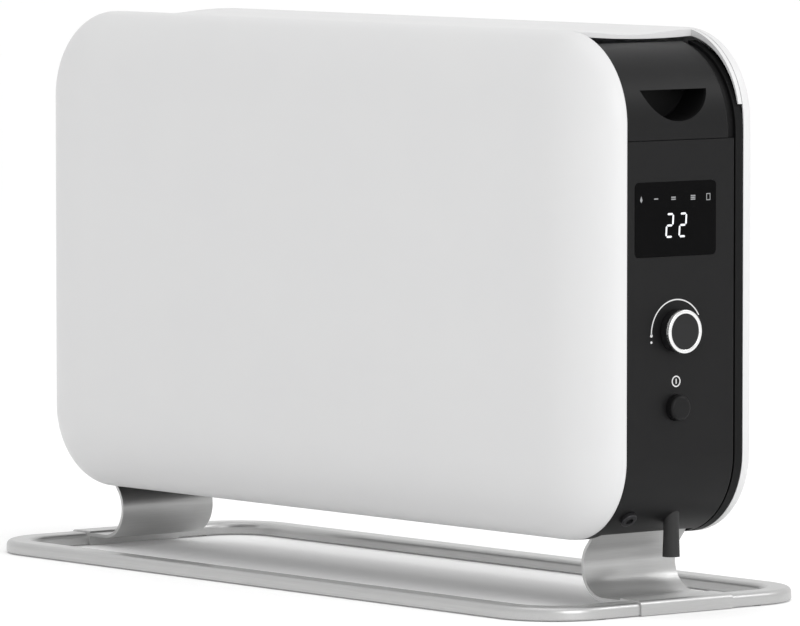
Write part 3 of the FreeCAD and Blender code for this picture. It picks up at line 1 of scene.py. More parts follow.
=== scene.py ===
"""Fan convector heater: finishes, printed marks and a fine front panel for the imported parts.

Units are metres.  +X runs to the end with the controls, the front panel faces -Y and the floor is z = 0.
"""

from __future__ import annotations

import json
import logging
import math
from dataclasses import dataclass
from enum import Enum
from typing import Sequence

import bpy
import numpy as np
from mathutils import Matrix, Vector


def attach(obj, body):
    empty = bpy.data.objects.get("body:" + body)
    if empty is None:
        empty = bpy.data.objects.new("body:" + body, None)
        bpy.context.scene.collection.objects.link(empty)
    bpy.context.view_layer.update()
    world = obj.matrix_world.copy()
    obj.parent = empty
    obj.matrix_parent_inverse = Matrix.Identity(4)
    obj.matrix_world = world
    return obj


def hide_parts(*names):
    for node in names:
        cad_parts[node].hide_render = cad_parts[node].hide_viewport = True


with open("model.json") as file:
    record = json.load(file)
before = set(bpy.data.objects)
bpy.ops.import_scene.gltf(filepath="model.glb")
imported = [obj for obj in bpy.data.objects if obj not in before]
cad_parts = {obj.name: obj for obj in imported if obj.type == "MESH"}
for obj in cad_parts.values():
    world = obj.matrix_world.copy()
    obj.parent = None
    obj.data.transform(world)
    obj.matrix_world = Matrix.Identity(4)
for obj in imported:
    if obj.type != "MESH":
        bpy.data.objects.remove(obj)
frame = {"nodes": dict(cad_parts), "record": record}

LOG = logging.getLogger("heater")
MM = 0.001
SIDE_STEPS = 8
Colour = tuple[float, float, float]
Grid = np.ndarray


class Body(Enum):
    """Rigid body that the new pieces ride on."""

    HEATER = "heater"


class Axis(Enum):
    """Direction that a grain or a turned mark follows."""

    X = 0
    Y = 1
    Z = 2


# ---------------------------------------------------------------- shader graphs
class Graph:
    """Adds nodes to one node tree and joins them."""

    def __init__(self, tree: bpy.types.NodeTree) -> None:
        """Keep the tree that the nodes go in."""
        self.tree = tree

    def add(self, kind: str, **values: object) -> bpy.types.Node:
        """Add a node and set its properties or its unlinked inputs.

        Args:
            kind: Blender's node type name without the "ShaderNode" prefix.
            values: Properties in lower case, or inputs with their spaces written as underscores.

        Returns:
            The new node.
        """
        node = self.tree.nodes.new("ShaderNode" + kind)
        for name, value in values.items():
            socket = node.inputs.get(name.replace("_", " "))
            if socket is not None:
                socket.default_value = value
            else:
                setattr(node, name, value)
        return node

    def join(self, source: bpy.types.NodeSocket, target: bpy.types.NodeSocket) -> None:
        """Link an output to an input."""
        self.tree.links.new(source, target)

    def maths(self, operation: str, first: object, second: object = 0.0) -> bpy.types.NodeSocket:
        """Join two values by an operation.

        Args:
            operation: Name of the Math node's operation.
            first: Socket or number.
            second: Socket or number.

        Returns:
            The result's socket.
        """
        node = self.tree.nodes.new("ShaderNodeMath")
        node.operation = operation
        for slot, value in enumerate((first, second)):
            if isinstance(value, bpy.types.NodeSocket):
                self.join(value, node.inputs[slot])
            else:
                node.inputs[slot].default_value = value
        return node.outputs[0]

    def blend(self, mask: bpy.types.NodeSocket, low: Colour, high: Colour) -> bpy.types.NodeSocket:
        """Mix two colours by a mask.

        Args:
            mask: Socket from 0 to 1.
            low: Colour where the mask is 0.
            high: Colour where the mask is 1.

        Returns:
            The mixed colour's socket.
        """
        node = self.tree.nodes.new("ShaderNodeMix")
        node.data_type = "RGBA"
        self.join(mask, node.inputs[0])
        node.inputs[6].default_value = (*low, 1.0)
        node.inputs[7].default_value = (*high, 1.0)
        return node.outputs[2]

    def over(self, mask: bpy.types.NodeSocket, under: bpy.types.NodeSocket,
             top: Colour) -> bpy.types.NodeSocket:
        """Lay a colour over another by a mask.

        Args:
            mask: Socket from 0 to 1.
            under: Colour socket seen where the mask is 0.
            top: Colour where the mask is 1.

        Returns:
            The mixed colour's socket.
        """
        node = self.tree.nodes.new("ShaderNodeMix")
        node.data_type = "RGBA"
        self.join(mask, node.inputs[0])
        self.join(under, node.inputs[6])
        node.inputs[7].default_value = (*top, 1.0)
        return node.outputs[2]

    def range(self, value: bpy.types.NodeSocket, low: float, high: float) -> bpy.types.NodeSocket:
        """Spread a mask from 0 to 1 over low to high.

        Args:
            value: Mask socket.
            low: Result for 0.
            high: Result for 1.

        Returns:
            The new value's socket.
        """
        node = self.tree.nodes.new("ShaderNodeMapRange")
        self.join(value, node.inputs["Value"])
        node.inputs["To Min"].default_value = low
        node.inputs["To Max"].default_value = high
        return node.outputs["Result"]

    def place(self) -> bpy.types.NodeSocket:
        """Return the object coordinates."""
        return self.add("TexCoord").outputs["Object"]


class SharedGroups:
    """Effects that several finishes use, each built once as a node group."""

    _made: dict[str, bpy.types.NodeTree] = {}

    @classmethod
    def _start(cls, name: str, numbers: Sequence[tuple[str, float]], outputs: Sequence[str]) -> tuple:
        """Open a new group with a Vector input, number inputs and number outputs.

        Args:
            name: Group's name.
            numbers: Name and default of each number input.
            outputs: Name of each number output.

        Returns:
            The tree, its Graph, its input node and its output node.
        """
        tree = bpy.data.node_groups.new(name, "ShaderNodeTree")
        tree.interface.new_socket("Vector", in_out="INPUT", socket_type="NodeSocketVector")
        for label, value in numbers:
            socket = tree.interface.new_socket(label, in_out="INPUT", socket_type="NodeSocketFloat")
            socket.default_value = value
        for label in outputs:
            tree.interface.new_socket(label, in_out="OUTPUT", socket_type="NodeSocketFloat")
        start = tree.nodes.new("NodeGroupInput")
        end = tree.nodes.new("NodeGroupOutput")
        return tree, Graph(tree), start, end

    @classmethod
    def grain(cls) -> bpy.types.NodeTree:
        """Fine two-layer grain: a coarse noise plus a third of one three times finer."""
        if "grain" not in cls._made:
            tree, graph, start, end = cls._start("fine_grain", [("Scale", 800.0)], ["Height", "Mottle"])
            coarse = graph.add("TexNoise", Detail=2.0, Roughness=0.55)
            fine = graph.add("TexNoise", Detail=1.0, Roughness=0.5)
            broad = graph.add("TexNoise", Detail=3.0, Roughness=0.6)
            for node in (coarse, fine, broad):
                graph.join(start.outputs["Vector"], node.inputs["Vector"])
            graph.join(start.outputs["Scale"], coarse.inputs["Scale"])
            graph.join(graph.maths("MULTIPLY", start.outputs["Scale"], 3.1), fine.inputs["Scale"])
            graph.join(graph.maths("MULTIPLY", start.outputs["Scale"], 0.012), broad.inputs["Scale"])
            third = graph.maths("MULTIPLY", fine.outputs["Fac"], 0.33)
            height = graph.maths("MULTIPLY", graph.maths("ADD", coarse.outputs["Fac"], third), 0.75)
            graph.join(height, end.inputs["Height"])
            graph.join(broad.outputs["Fac"], end.inputs["Mottle"])
            cls._made["grain"] = tree
        return cls._made["grain"]

    @classmethod
    def dust(cls) -> bpy.types.NodeTree:
        """Settled dust: a soft noise kept where the surface looks up."""
        if "dust" not in cls._made:
            tree, graph, start, end = cls._start("settled_dust", [("Scale", 40.0), ("Amount", 0.2)], ["Mask"])
            noise = graph.add("TexNoise", Detail=4.0, Roughness=0.65)
            graph.join(start.outputs["Vector"], noise.inputs["Vector"])
            graph.join(start.outputs["Scale"], noise.inputs["Scale"])
            split = graph.add("SeparateXYZ")
            graph.join(graph.add("NewGeometry").outputs["Normal"], split.inputs[0])
            upward = graph.maths("MAXIMUM", split.outputs["Z"], 0.0)
            patch = graph.maths("MULTIPLY", noise.outputs["Fac"], upward)
            graph.join(graph.maths("MULTIPLY", patch, start.outputs["Amount"]), end.inputs["Mask"])
            cls._made["dust"] = tree
        return cls._made["dust"]

    @classmethod
    def brushing(cls) -> bpy.types.NodeTree:
        """Brushed lines: noise on coordinates that are squeezed along each axis by its own input."""
        if "brushing" not in cls._made:
            sizes = [("Along X", 20.0), ("Along Y", 1500.0), ("Along Z", 1500.0)]
            tree, graph, start, end = cls._start("brushed_lines", sizes, ["Height", "Mask"])
            split = graph.add("SeparateXYZ")
            graph.join(start.outputs["Vector"], split.inputs[0])
            merge = graph.add("CombineXYZ")
            for letter in "XYZ":
                scaled = graph.maths("MULTIPLY", split.outputs[letter], start.outputs["Along " + letter])
                graph.join(scaled, merge.inputs[letter])
            noise = graph.add("TexNoise", Scale=1.0, Detail=3.0, Roughness=0.6)
            graph.join(merge.outputs[0], noise.inputs["Vector"])
            graph.join(noise.outputs["Fac"], end.inputs["Height"])
            ramp = graph.add("MapRange", From_Min=0.3, From_Max=0.7)
            graph.join(noise.outputs["Fac"], ramp.inputs["Value"])
            graph.join(ramp.outputs["Result"], end.inputs["Mask"])
            cls._made["brushing"] = tree
        return cls._made["brushing"]


@dataclass
class Layers:
    """Sockets that a finish's pattern gives to its shader."""

    colour: bpy.types.NodeSocket
    roughness: bpy.types.NodeSocket
    height: bpy.types.NodeSocket


@dataclass(frozen=True)
class Finish:
    """Surface finish with a fine grain, a slow mottle and a little settled dust.

    The colour goes from `colour` to `shade` with the mottle, and roughness spreads either side of its own
    value by `spread`.
    """

    name: str
    colour: Colour
    shade: Colour
    roughness: float
    spread: float = 0.05
    metallic: float = 0.0
    grain: float = 900.0
    relief: float = 0.02 * MM
    coat: float = 0.0
    coat_roughness: float = 0.1
    specular: float = 0.5
    dust: float = 0.0
    dust_colour: Colour = (0.55, 0.54, 0.52)

    def pattern(self, graph: Graph) -> Layers:
        """Build the grain, mottle and dust.

        Args:
            graph: Graph of the material.

        Returns:
            The pattern's sockets.
        """
        place = graph.place()
        grain = self.group(graph, SharedGroups.grain(), place, Scale=self.grain)
        colour = graph.blend(grain.outputs["Mottle"], self.colour, self.shade)
        if self.dust > 0.0:
            dust = self.group(graph, SharedGroups.dust(), place, Amount=self.dust)
            colour = graph.over(dust.outputs["Mask"], colour, self.dust_colour)
        low, high = self.roughness - self.spread, self.roughness + self.spread
        roughness = graph.range(grain.outputs["Height"], low, high)
        return Layers(colour, roughness, grain.outputs["Height"])

    @staticmethod
    def group(graph: Graph, tree: bpy.types.NodeTree, place: bpy.types.NodeSocket,
              **values: float) -> bpy.types.Node:
        """Place a shared group in a material.

        Args:
            graph: Graph of the material.
            tree: The shared group.
            place: Coordinates for its Vector input.
            values: Its number inputs, with spaces written as underscores.

        Returns:
            The group's node.
        """
        node = graph.tree.nodes.new("ShaderNodeGroup")
        node.node_tree = tree
        graph.join(place, node.inputs["Vector"])
        for name, value in values.items():
            node.inputs[name.replace("_", " ")].default_value = value
        return node

    def extras(self, graph: Graph, shader: bpy.types.Node) -> None:
        """Set what only some finishes have; the plain finish adds nothing."""

    def material(self) -> bpy.types.Material:
        """Return the material, building it on first use."""
        found = bpy.data.materials.get(self.name)
        if found is not None:
            return found
        made = bpy.data.materials.new(self.name)
        made.use_nodes = True
        made.node_tree.nodes.clear()
        graph = Graph(made.node_tree)
        shader = graph.add("BsdfPrincipled")
        shader.inputs["Metallic"].default_value = self.metallic
        shader.inputs["Coat Weight"].default_value = self.coat
        shader.inputs["Coat Roughness"].default_value = self.coat_roughness
        shader.inputs["Specular IOR Level"].default_value = self.specular
        layers = self.pattern(graph)
        graph.join(layers.colour, shader.inputs["Base Color"])
        graph.join(layers.roughness, shader.inputs["Roughness"])
        bump = graph.add("Bump", Strength=1.0, Distance=self.relief)
        graph.join(layers.height, bump.inputs["Height"])
        graph.join(bump.outputs["Normal"], shader.inputs["Normal"])
        self.extras(graph, shader)
        graph.join(shader.outputs[0], graph.add("OutputMaterial").inputs["Surface"])
        made.diffuse_color = (*self.colour, 1.0)
        return made


@dataclass(frozen=True)
class Brushed(Finish):
    """Metal with fine drawn lines along one axis."""

    along: Axis = Axis.X
    line: float = 1800.0
    run: float = 25.0

    def pattern(self, graph: Graph) -> Layers:
        """Build the drawn lines over the plain grain.

        Args:
            graph: Graph of the material.

        Returns:
            The pattern's sockets.
        """
        place = graph.place()
        sizes = {"Along_" + axis.name: (self.run if axis is self.along else self.line) for axis in Axis}
        lines = self.group(graph, SharedGroups.brushing(), place, **sizes)
        grain = self.group(graph, SharedGroups.grain(), place, Scale=self.grain)
        mix = graph.maths("MULTIPLY_ADD", lines.outputs["Mask"], 0.5)
        graph.join(graph.maths("MULTIPLY", grain.outputs["Mottle"], 0.5), mix.node.inputs[2])
        colour = graph.blend(mix, self.colour, self.shade)
        low, high = self.roughness - self.spread, self.roughness + self.spread
        return Layers(colour, graph.range(lines.outputs["Mask"], low, high), lines.outputs["Height"])


@dataclass(frozen=True)
class Turned(Finish):
    """Metal or plastic turned about an axis along X: fine rings round its centre."""

    centre: tuple[float, float] = (0.0, 0.0)
    pitch: float = 0.25 * MM

    def pattern(self, graph: Graph) -> Layers:
        """Build rings as the sine of the distance from the axis, roughened by noise.

        Args:
            graph: Graph of the material.

        Returns:
            The pattern's sockets.
        """
        place = graph.place()
        split = graph.add("SeparateXYZ")
        graph.join(place, split.inputs[0])
        across = graph.maths("SUBTRACT", split.outputs["Y"], self.centre[0])
        up = graph.maths("SUBTRACT", split.outputs["Z"], self.centre[1])
        squared = graph.maths("ADD", graph.maths("POWER", across, 2.0), graph.maths("POWER", up, 2.0))
        distance = graph.maths("SQRT", squared)
        wave = graph.maths("SINE", graph.maths("MULTIPLY", distance, math.tau / self.pitch))
        rings = graph.range(wave, 0.5, 1.0)
        grain = self.group(graph, SharedGroups.grain(), place, Scale=self.grain)
        colour = graph.blend(grain.outputs["Mottle"], self.colour, self.shade)
        low, high = self.roughness - self.spread, self.roughness + self.spread
        return Layers(colour, graph.range(grain.outputs["Height"], low, high), rings)


@dataclass(frozen=True)
class Spangled(Finish):
    """Galvanised sheet: crystal cells of slightly different grey."""

    cell: float = 120.0

    def pattern(self, graph: Graph) -> Layers:
        """Build the crystal cells from Voronoi colours.

        Args:
            graph: Graph of the material.

        Returns:
            The pattern's sockets.
        """
        place = graph.place()
        cells = graph.add("TexVoronoi", Scale=self.cell)
        graph.join(place, cells.inputs["Vector"])
        shade = graph.add("SeparateColor")
        graph.join(cells.outputs["Color"], shade.inputs[0])
        grain = self.group(graph, SharedGroups.grain(), place, Scale=self.grain)
        colour = graph.blend(shade.outputs[0], self.colour, self.shade)
        low, high = self.roughness - self.spread, self.roughness + self.spread
        return Layers(colour, graph.range(shade.outputs[1], low, high), grain.outputs["Height"])


@dataclass(frozen=True)
class Tinted(Finish):
    """Steel that heat has tinted in slow bands."""

    tint: Colour = (0.30, 0.20, 0.14)

    def pattern(self, graph: Graph) -> Layers:
        """Build straw-coloured bands over the grain.

        Args:
            graph: Graph of the material.

        Returns:
            The pattern's sockets.
        """
        place = graph.place()
        grain = self.group(graph, SharedGroups.grain(), place, Scale=self.grain)
        bands = graph.add("TexNoise", Scale=14.0, Detail=2.0)
        graph.join(place, bands.inputs["Vector"])
        under = graph.blend(grain.outputs["Height"], self.colour, self.shade)
        colour = graph.over(graph.range(bands.outputs["Fac"], 0.0, 0.8), under, self.tint)
        low, high = self.roughness - self.spread, self.roughness + self.spread
        return Layers(colour, graph.range(bands.outputs["Fac"], low, high), grain.outputs["Height"])


@dataclass(frozen=True)
class Circuit(Finish):
    """Lacquered board with copper tracks showing through as lighter lines."""

    track: Colour = (0.10, 0.42, 0.20)

    def pattern(self, graph: Graph) -> Layers:
        """Build tracks as a brick pattern over the lacquer.

        Args:
            graph: Graph of the material.

        Returns:
            The pattern's sockets.
        """
        place = graph.place()
        turn = graph.add("Mapping")
        turn.inputs["Rotation"].default_value = (0.0, math.pi / 2, 0.0)
        graph.join(place, turn.inputs["Vector"])
        tracks = graph.add("TexBrick", Scale=160.0)
        tracks.inputs["Mortar Size"].default_value = 0.04
        graph.join(turn.outputs[0], tracks.inputs["Vector"])
        grain = self.group(graph, SharedGroups.grain(), place, Scale=self.grain)
        under = graph.blend(grain.outputs["Mottle"], self.colour, self.shade)
        colour = graph.over(tracks.outputs["Fac"], under, self.track)
        low, high = self.roughness - self.spread, self.roughness + self.spread
        return Layers(colour, graph.range(grain.outputs["Height"], low, high), tracks.outputs["Fac"])


@dataclass(frozen=True)
class Lit(Finish):
    """Mark or surface with its own light: real lamps for the display, a painted glow on printed marks, an
    even glow on the floor.
    """

    light: float = 1.0

    def extras(self, graph: Graph, shader: bpy.types.Node) -> None:
        """Give the mark its own light.

        Args:
            graph: Graph of the material.
            shader: The material's shader.
        """
        shader.inputs["Emission Color"].default_value = (*self.colour, 1.0)
        shader.inputs["Emission Strength"].default_value = self.light


DIAL_CENTRE = (-4.5 * MM, 212.0 * MM)

WHITE_COAT = Finish(
    "white_powder_coat", (0.66, 0.66, 0.66), (0.64, 0.64, 0.645), 0.44, 0.05,
    grain=1100.0, relief=0.012 * MM, specular=0.45, dust=0.03,
)
BLACK_MOULDING = Finish(
    "black_moulding", (0.006, 0.006, 0.0063), (0.0075, 0.0075, 0.0078), 0.42, 0.06,
    grain=2600.0, relief=0.012 * MM, specular=0.16, dust=0.03, dust_colour=(0.10, 0.10, 0.10),
)
# Darker, duller copy of the black moulding: painted shade for the parts in the groove slot (the end frames'
# groove flange and the handle cups), which sit in recesses.
PAINTED_SHADE_MOULDING = Finish(
    "painted_shade_moulding", (0.004, 0.004, 0.0042), (0.0055, 0.0055, 0.0057), 0.5, 0.06,
    grain=2600.0, relief=0.012 * MM, specular=0.12,
)
SMOKED_GLASS = Finish(
    "smoked_window", (0.0012, 0.0012, 0.0014), (0.0018, 0.0018, 0.002), 0.18, 0.03,
    grain=500.0, relief=0.001 * MM, specular=0.05,
)
BRIGHT_TRIM = Turned(
    "turned_bright_trim", (0.86, 0.86, 0.86), (0.78, 0.78, 0.78), 0.24, 0.04,
    metallic=1.0, grain=1500.0, relief=0.004 * MM, centre=DIAL_CENTRE,
)
KNOB_PLASTIC = Finish(
    "knob_moulding", (0.008, 0.008, 0.0085), (0.011, 0.011, 0.0115), 0.36, 0.05,
    grain=2200.0, relief=0.008 * MM, specular=0.25,
)
SATIN_ALLOY = Brushed(
    "satin_alloy", (0.53, 0.53, 0.525), (0.46, 0.46, 0.46), 0.36, 0.07,
    metallic=0.85, grain=1400.0, relief=0.006 * MM, along=Axis.X,
)
LEG_ALLOY = Brushed(
    "brushed_leg_alloy", (0.53, 0.53, 0.525), (0.46, 0.46, 0.46), 0.36, 0.07,
    metallic=0.8, grain=1400.0, relief=0.006 * MM, along=Axis.Y,
)
RUBBER = Finish(
    "black_rubber", (0.020, 0.020, 0.020), (0.028, 0.028, 0.028), 0.62, 0.08,
    grain=1800.0, relief=0.02 * MM, specular=0.3,
)
GALVANISED = Spangled(
    "galvanised_sheet", (0.46, 0.47, 0.48), (0.60, 0.61, 0.62), 0.42, 0.10,
    metallic=0.9, grain=900.0, relief=0.006 * MM,
)
DARK_SCREW = Finish(
    "black_oxide", (0.022, 0.022, 0.024), (0.04, 0.04, 0.042), 0.36, 0.08,
    metallic=0.7, grain=1800.0, relief=0.01 * MM,
)
BRIGHT_SCREW = Brushed(
    "zinc_plate", (0.62, 0.62, 0.60), (0.50, 0.50, 0.48), 0.32, 0.08,
    metallic=1.0, grain=1500.0, relief=0.008 * MM,
)
ELEMENT_STEEL = Tinted(
    "heat_tinted_steel", (0.34, 0.33, 0.32), (0.26, 0.25, 0.24), 0.42, 0.08,
    metallic=0.9, grain=900.0, relief=0.01 * MM,
)
BOARD = Circuit(
    "circuit_board", (0.012, 0.10, 0.04), (0.016, 0.13, 0.05), 0.32, 0.05,
    grain=900.0, relief=0.02 * MM,
)
COMPONENT = Finish(
    "component_moulding", (0.03, 0.035, 0.05), (0.045, 0.05, 0.065), 0.36, 0.06,
    grain=1500.0, relief=0.01 * MM,
)
CREAM_MOULDING = Finish(
    "cream_moulding", (0.62, 0.58, 0.46), (0.55, 0.51, 0.40), 0.45, 0.06,
    grain=1500.0, relief=0.015 * MM,
)
# White print with a faint painted glow: the marks give off light of their own, though print is no lamp.
PAINTED_GLOW_PRINT = Lit(
    "white_print_painted_glow", (0.66, 0.66, 0.66), (0.60, 0.60, 0.60), 0.5, 0.05,
    grain=3000.0, relief=0.004 * MM, light=0.04,
)
LAMP_WHITE = Lit(
    "lamp_white", (0.80, 0.82, 0.84), (0.72, 0.74, 0.77), 0.4, 0.04,
    grain=3000.0, relief=0.002 * MM, light=0.22,
)
LAMP_GREY = Lit(
    "lamp_grey", (0.26, 0.265, 0.27), (0.22, 0.225, 0.23), 0.4, 0.04,
    grain=3000.0, relief=0.002 * MM, light=0.10,
)
FLOOR_PAPER = Lit(
    "studio_paper", (0.96, 0.96, 0.96), (0.95, 0.95, 0.95), 0.8, 0.05,
    grain=300.0, relief=0.01 * MM, specular=0.1, light=0.09,
)

FINISH_OF_SLOT: dict[str, Finish] = {
    "white_steel": WHITE_COAT,
    # Parts in the groove slot get the black moulding's darker copy, which is painted shade for their
    # recesses.
    "black_plastic": BLACK_MOULDING,
    "groove_plastic": PAINTED_SHADE_MOULDING,
    "smoked_glass": SMOKED_GLASS,
    "bright_trim": BRIGHT_TRIM,
    "knob_plastic": KNOB_PLASTIC,
    "brushed_alloy": SATIN_ALLOY,
    "rubber": RUBBER,
    "galvanised": GALVANISED,
    "dark_screw": DARK_SCREW,
    "bright_screw": BRIGHT_SCREW,
    "element_steel": ELEMENT_STEEL,
    "board": BOARD,
    "component": COMPONENT,
    "cream_plastic": CREAM_MOULDING,
}
FINISH_OF_NODE: dict[str, Finish] = {"left_leg": LEG_ALLOY, "right_leg": LEG_ALLOY}


# ---------------------------------------------------------------- mesh tools
class Sheet:
    """Meshes made from whole numpy arrays."""

    @staticmethod
    def object_from(name: str, points: Grid, faces: Sequence[Sequence[int]], finish: Finish,
                    body: Body, slot: str, smooth: bool = True) -> bpy.types.Object:
        """Make a piece at the origin, dress it and set it on its body.

        Args:
            name: Piece's name.
            points: Array of points, one row each.
            faces: Corner numbers of each face.
            finish: Its finish.
            body: Body that it rides on.
            slot: Material slot in the record that it belongs to; not used.
            smooth: Whether its faces are shaded smooth.

        Returns:
            The new object.
        """
        mesh = bpy.data.meshes.new(name)
        mesh.from_pydata(points.tolist(), [], [list(face) for face in faces])
        mesh.polygons.foreach_set("use_smooth", np.full(len(mesh.polygons), smooth))
        mesh.materials.append(finish.material())
        mesh.update()
        made = bpy.data.objects.new(name, mesh)
        bpy.context.scene.collection.objects.link(made)
        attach(made, body.value)
        LOG.info("%s: %d faces", name, len(mesh.polygons))
        return made

    @staticmethod
    def grid_faces(rows: int, columns: int, wrap_rows: bool) -> Grid:
        """Number the quads of a grid of points.

        Args:
            rows: Points along the first parameter.
            columns: Points along the second parameter.
            wrap_rows: Whether the last row meets the first.

        Returns:
            An array of four corner numbers per quad.
        """
        i = np.arange(rows if wrap_rows else rows - 1)[:, None]
        j = np.arange(columns - 1)[None, :]
        after = (i + 1) % rows
        here, there = i * columns + j, after * columns + j
        quads = np.stack([here, here + 1, there + 1, there], axis=-1)
        return quads.reshape(-1, 4)

    @staticmethod
    def outline(half_x: float, half_v: float, radii: tuple[float, float], inset: Grid,
                steps: int = 24) -> Grid:
        """Rounded rectangle drawn at several insets, its upper and lower corners each with a radius.

        Formula: each point is its corner's centre plus (radius - inset) along the corner's angle; a
        straight side joins the ends of two corners by even steps.

        Args:
            half_x: Half width.
            half_v: Half height.
            radii: Radius of the upper and of the lower corners at inset 0.
            inset: Array of insets.
            steps: Steps round each corner.

        Returns:
            Array (points round, insets, 2), anticlockwise.
        """
        rows = []
        for quarter, (sx, sv) in enumerate(((1, 1), (-1, 1), (-1, -1), (1, -1))):
            radius = radii[0] if sv > 0 else radii[1]
            reach = (radius - inset)[None, :]
            angle = (np.linspace(0.0, 0.5, steps + 1) + quarter * 0.5)[:, None] * math.pi
            x = sx * (half_x - radius) + reach * np.cos(angle)
            v = sv * (half_v - radius) + reach * np.sin(angle)
            rows.append(np.stack([x, v], axis=-1))
        pieces = []
        for quarter in range(4):
            start = rows[quarter][-1]
            end = rows[(quarter + 1) % 4][0]
            share = np.linspace(0.0, 1.0, SIDE_STEPS + 1)[1:-1, None, None]
            pieces += [rows[quarter], start[None] * (1 - share) + end[None] * share]
        return np.concatenate(pieces, axis=0)


class Plates:
    """Thin flat marks that lie on a face across X."""

    def __init__(self, face_x: float, thickness: float) -> None:
        """Keep the face that the marks lie on.

        Args:
            face_x: Level of the face.
            thickness: How far the marks stand off it.
        """
        self.face_x = face_x
        self.thickness = thickness
        self.points: list[Grid] = []
        self.faces: list[list[int]] = []
        self.count = 0

    def polygon(self, corners: Grid) -> None:
        """Add a closed polygon as a thin plate.

        Args:
            corners: Array of (y, z) corners, anticlockwise seen from +X.
        """
        size = len(corners)
        back = np.column_stack([np.full(size, self.face_x), corners])
        front = np.column_stack([np.full(size, self.face_x + self.thickness), corners])
        start = self.count
        i = np.arange(size)
        after = (i + 1) % size
        sides = np.stack([start + i, start + after, start + size + after, start + size + i], axis=-1)
        self.points += [back, front]
        self.faces += sides.tolist()
        self.faces += [(start + size + i).tolist(), (start + i[::-1]).tolist()]
        self.count += size * 2

    def band(self, centre: tuple[float, float], inner: float, outer: float,
             degrees: tuple[float, float], steps: int = 64) -> None:
        """Add a ring sector; angles run from +Y towards +Z.

        Args:
            centre: Centre (y, z).
            inner: Inner radius.
            outer: Outer radius.
            degrees: First and last angle.
            steps: Number of steps round it.
        """
        angle = np.radians(np.linspace(*degrees, steps + 1))
        ray = np.column_stack([np.cos(angle), np.sin(angle)])
        inside = np.array(centre) + ray * inner
        outside = np.array(centre) + ray * outer
        for i in range(steps):
            self.polygon(np.array([outside[i], outside[i + 1], inside[i + 1], inside[i]]))

    def disc(self, centre: tuple[float, float], radius: float, steps: int = 32) -> None:
        """Add a round plate.

        Args:
            centre: Centre (y, z).
            radius: Its radius.
            steps: Number of sides.
        """
        angle = np.linspace(0.0, math.tau, steps, endpoint=False)
        self.polygon(np.array(centre) + radius * np.column_stack([np.cos(angle), np.sin(angle)]))

    def bar(self, y: tuple[float, float], z: tuple[float, float]) -> None:
        """Add an upright rectangle between two bounds each way."""
        self.polygon(np.array([[y[0], z[0]], [y[1], z[0]], [y[1], z[1]], [y[0], z[1]]]))

    def finish(self, name: str, finish: Finish, body: Body, slot: str) -> bpy.types.Object:
        """Make one piece of every plate added so far.

        Args:
            name: Piece's name.
            finish: Its finish.
            body: Body that it rides on.
            slot: Material slot in the record; not used.

        Returns:
            The new object.
        """
        points = np.concatenate(self.points)
        return Sheet.object_from(name, points, self.faces, finish, body, slot, smooth=False)


# ---------------------------------------------------------------- sub-assemblies
@dataclass
class PackedParts:
    """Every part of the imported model, dressed by the material slot that the record gives it."""

    nodes: dict[str, bpy.types.Object]
    record: dict

    def dress(self) -> None:
        """Give each part its finish."""
        slots = {entry["node"]: entry["material_slot"] for entry in self.record["subparts"]}
        for name, part in sorted(self.nodes.items()):
            finish = FINISH_OF_NODE.get(name, FINISH_OF_SLOT[slots[name]])
            if not part.material_slots:
                part.data.materials.append(finish.material())
            for slot in part.material_slots:
                slot.material = finish.material()
            LOG.info("%s dressed in %s", name, finish.name)


@dataclass
class FrontPanel:
    """Pressed front: a flat face that rolls back through a quarter ellipse all round."""

    half_width: float = 350.0 * MM
    half_height: float = 191.5 * MM
    middle_z: float = 244.5 * MM
    corners: tuple[float, float] = (69.0 * MM, 64.0 * MM)
    roll_width: float = 60.0 * MM
    roll_depth: float = 32.0 * MM
    rear_y: float = -53.0 * MM
    sheet: float = 1.2 * MM
    steps: int = 40

    def skin(self, inset: float) -> Grid:
        """Points of the rolled edge of one face of the sheet.

        Formula: at angle t the section lies (width)(1 - cos t) inside the outline and (depth)(sin t) in
        front of the rear edge, t from 0 to 90 degrees.

        Args:
            inset: How far this face lies inside the outer one.

        Returns:
            Array (round, section, 3).
        """
        turn = np.linspace(0.0, math.pi / 2, self.steps + 1)
        inward = inset + (self.roll_width - inset) * (1 - np.cos(turn))
        forward = (self.roll_depth - inset) * np.sin(turn)
        flat = Sheet.outline(self.half_width, self.half_height, self.corners, inward)
        y = np.broadcast_to(self.rear_y - forward, flat.shape[:2])
        return np.stack([flat[..., 0], y, flat[..., 1] + self.middle_z], axis=-1)

    def build(self) -> bpy.types.Object:
        """Make the sheet: outer skin, inner skin, their two flat faces and the rear lip.

        Returns:
            The new object.
        """
        outer, inner = self.skin(0.0), self.skin(self.sheet)
        rows, columns = outer.shape[:2]
        quads = Sheet.grid_faces(rows, columns, True)
        offset = rows * columns
        i = np.arange(rows)
        after = (i + 1) % rows
        start, end = i * columns, after * columns
        lip = np.stack([start, end, offset + end, offset + start], axis=-1)
        faces = quads[:, ::-1].tolist()
        faces += (quads + offset).tolist()
        faces += lip[:, ::-1].tolist()
        rim = i * columns + columns - 1
        faces += [rim.tolist(), (rim + offset)[::-1].tolist()]
        points = np.concatenate([outer.reshape(-1, 3), inner.reshape(-1, 3)])
        made = Sheet.object_from("front_panel_skin", points, faces, WHITE_COAT, Body.HEATER, "white_steel")
        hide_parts("front_panel")
        return made


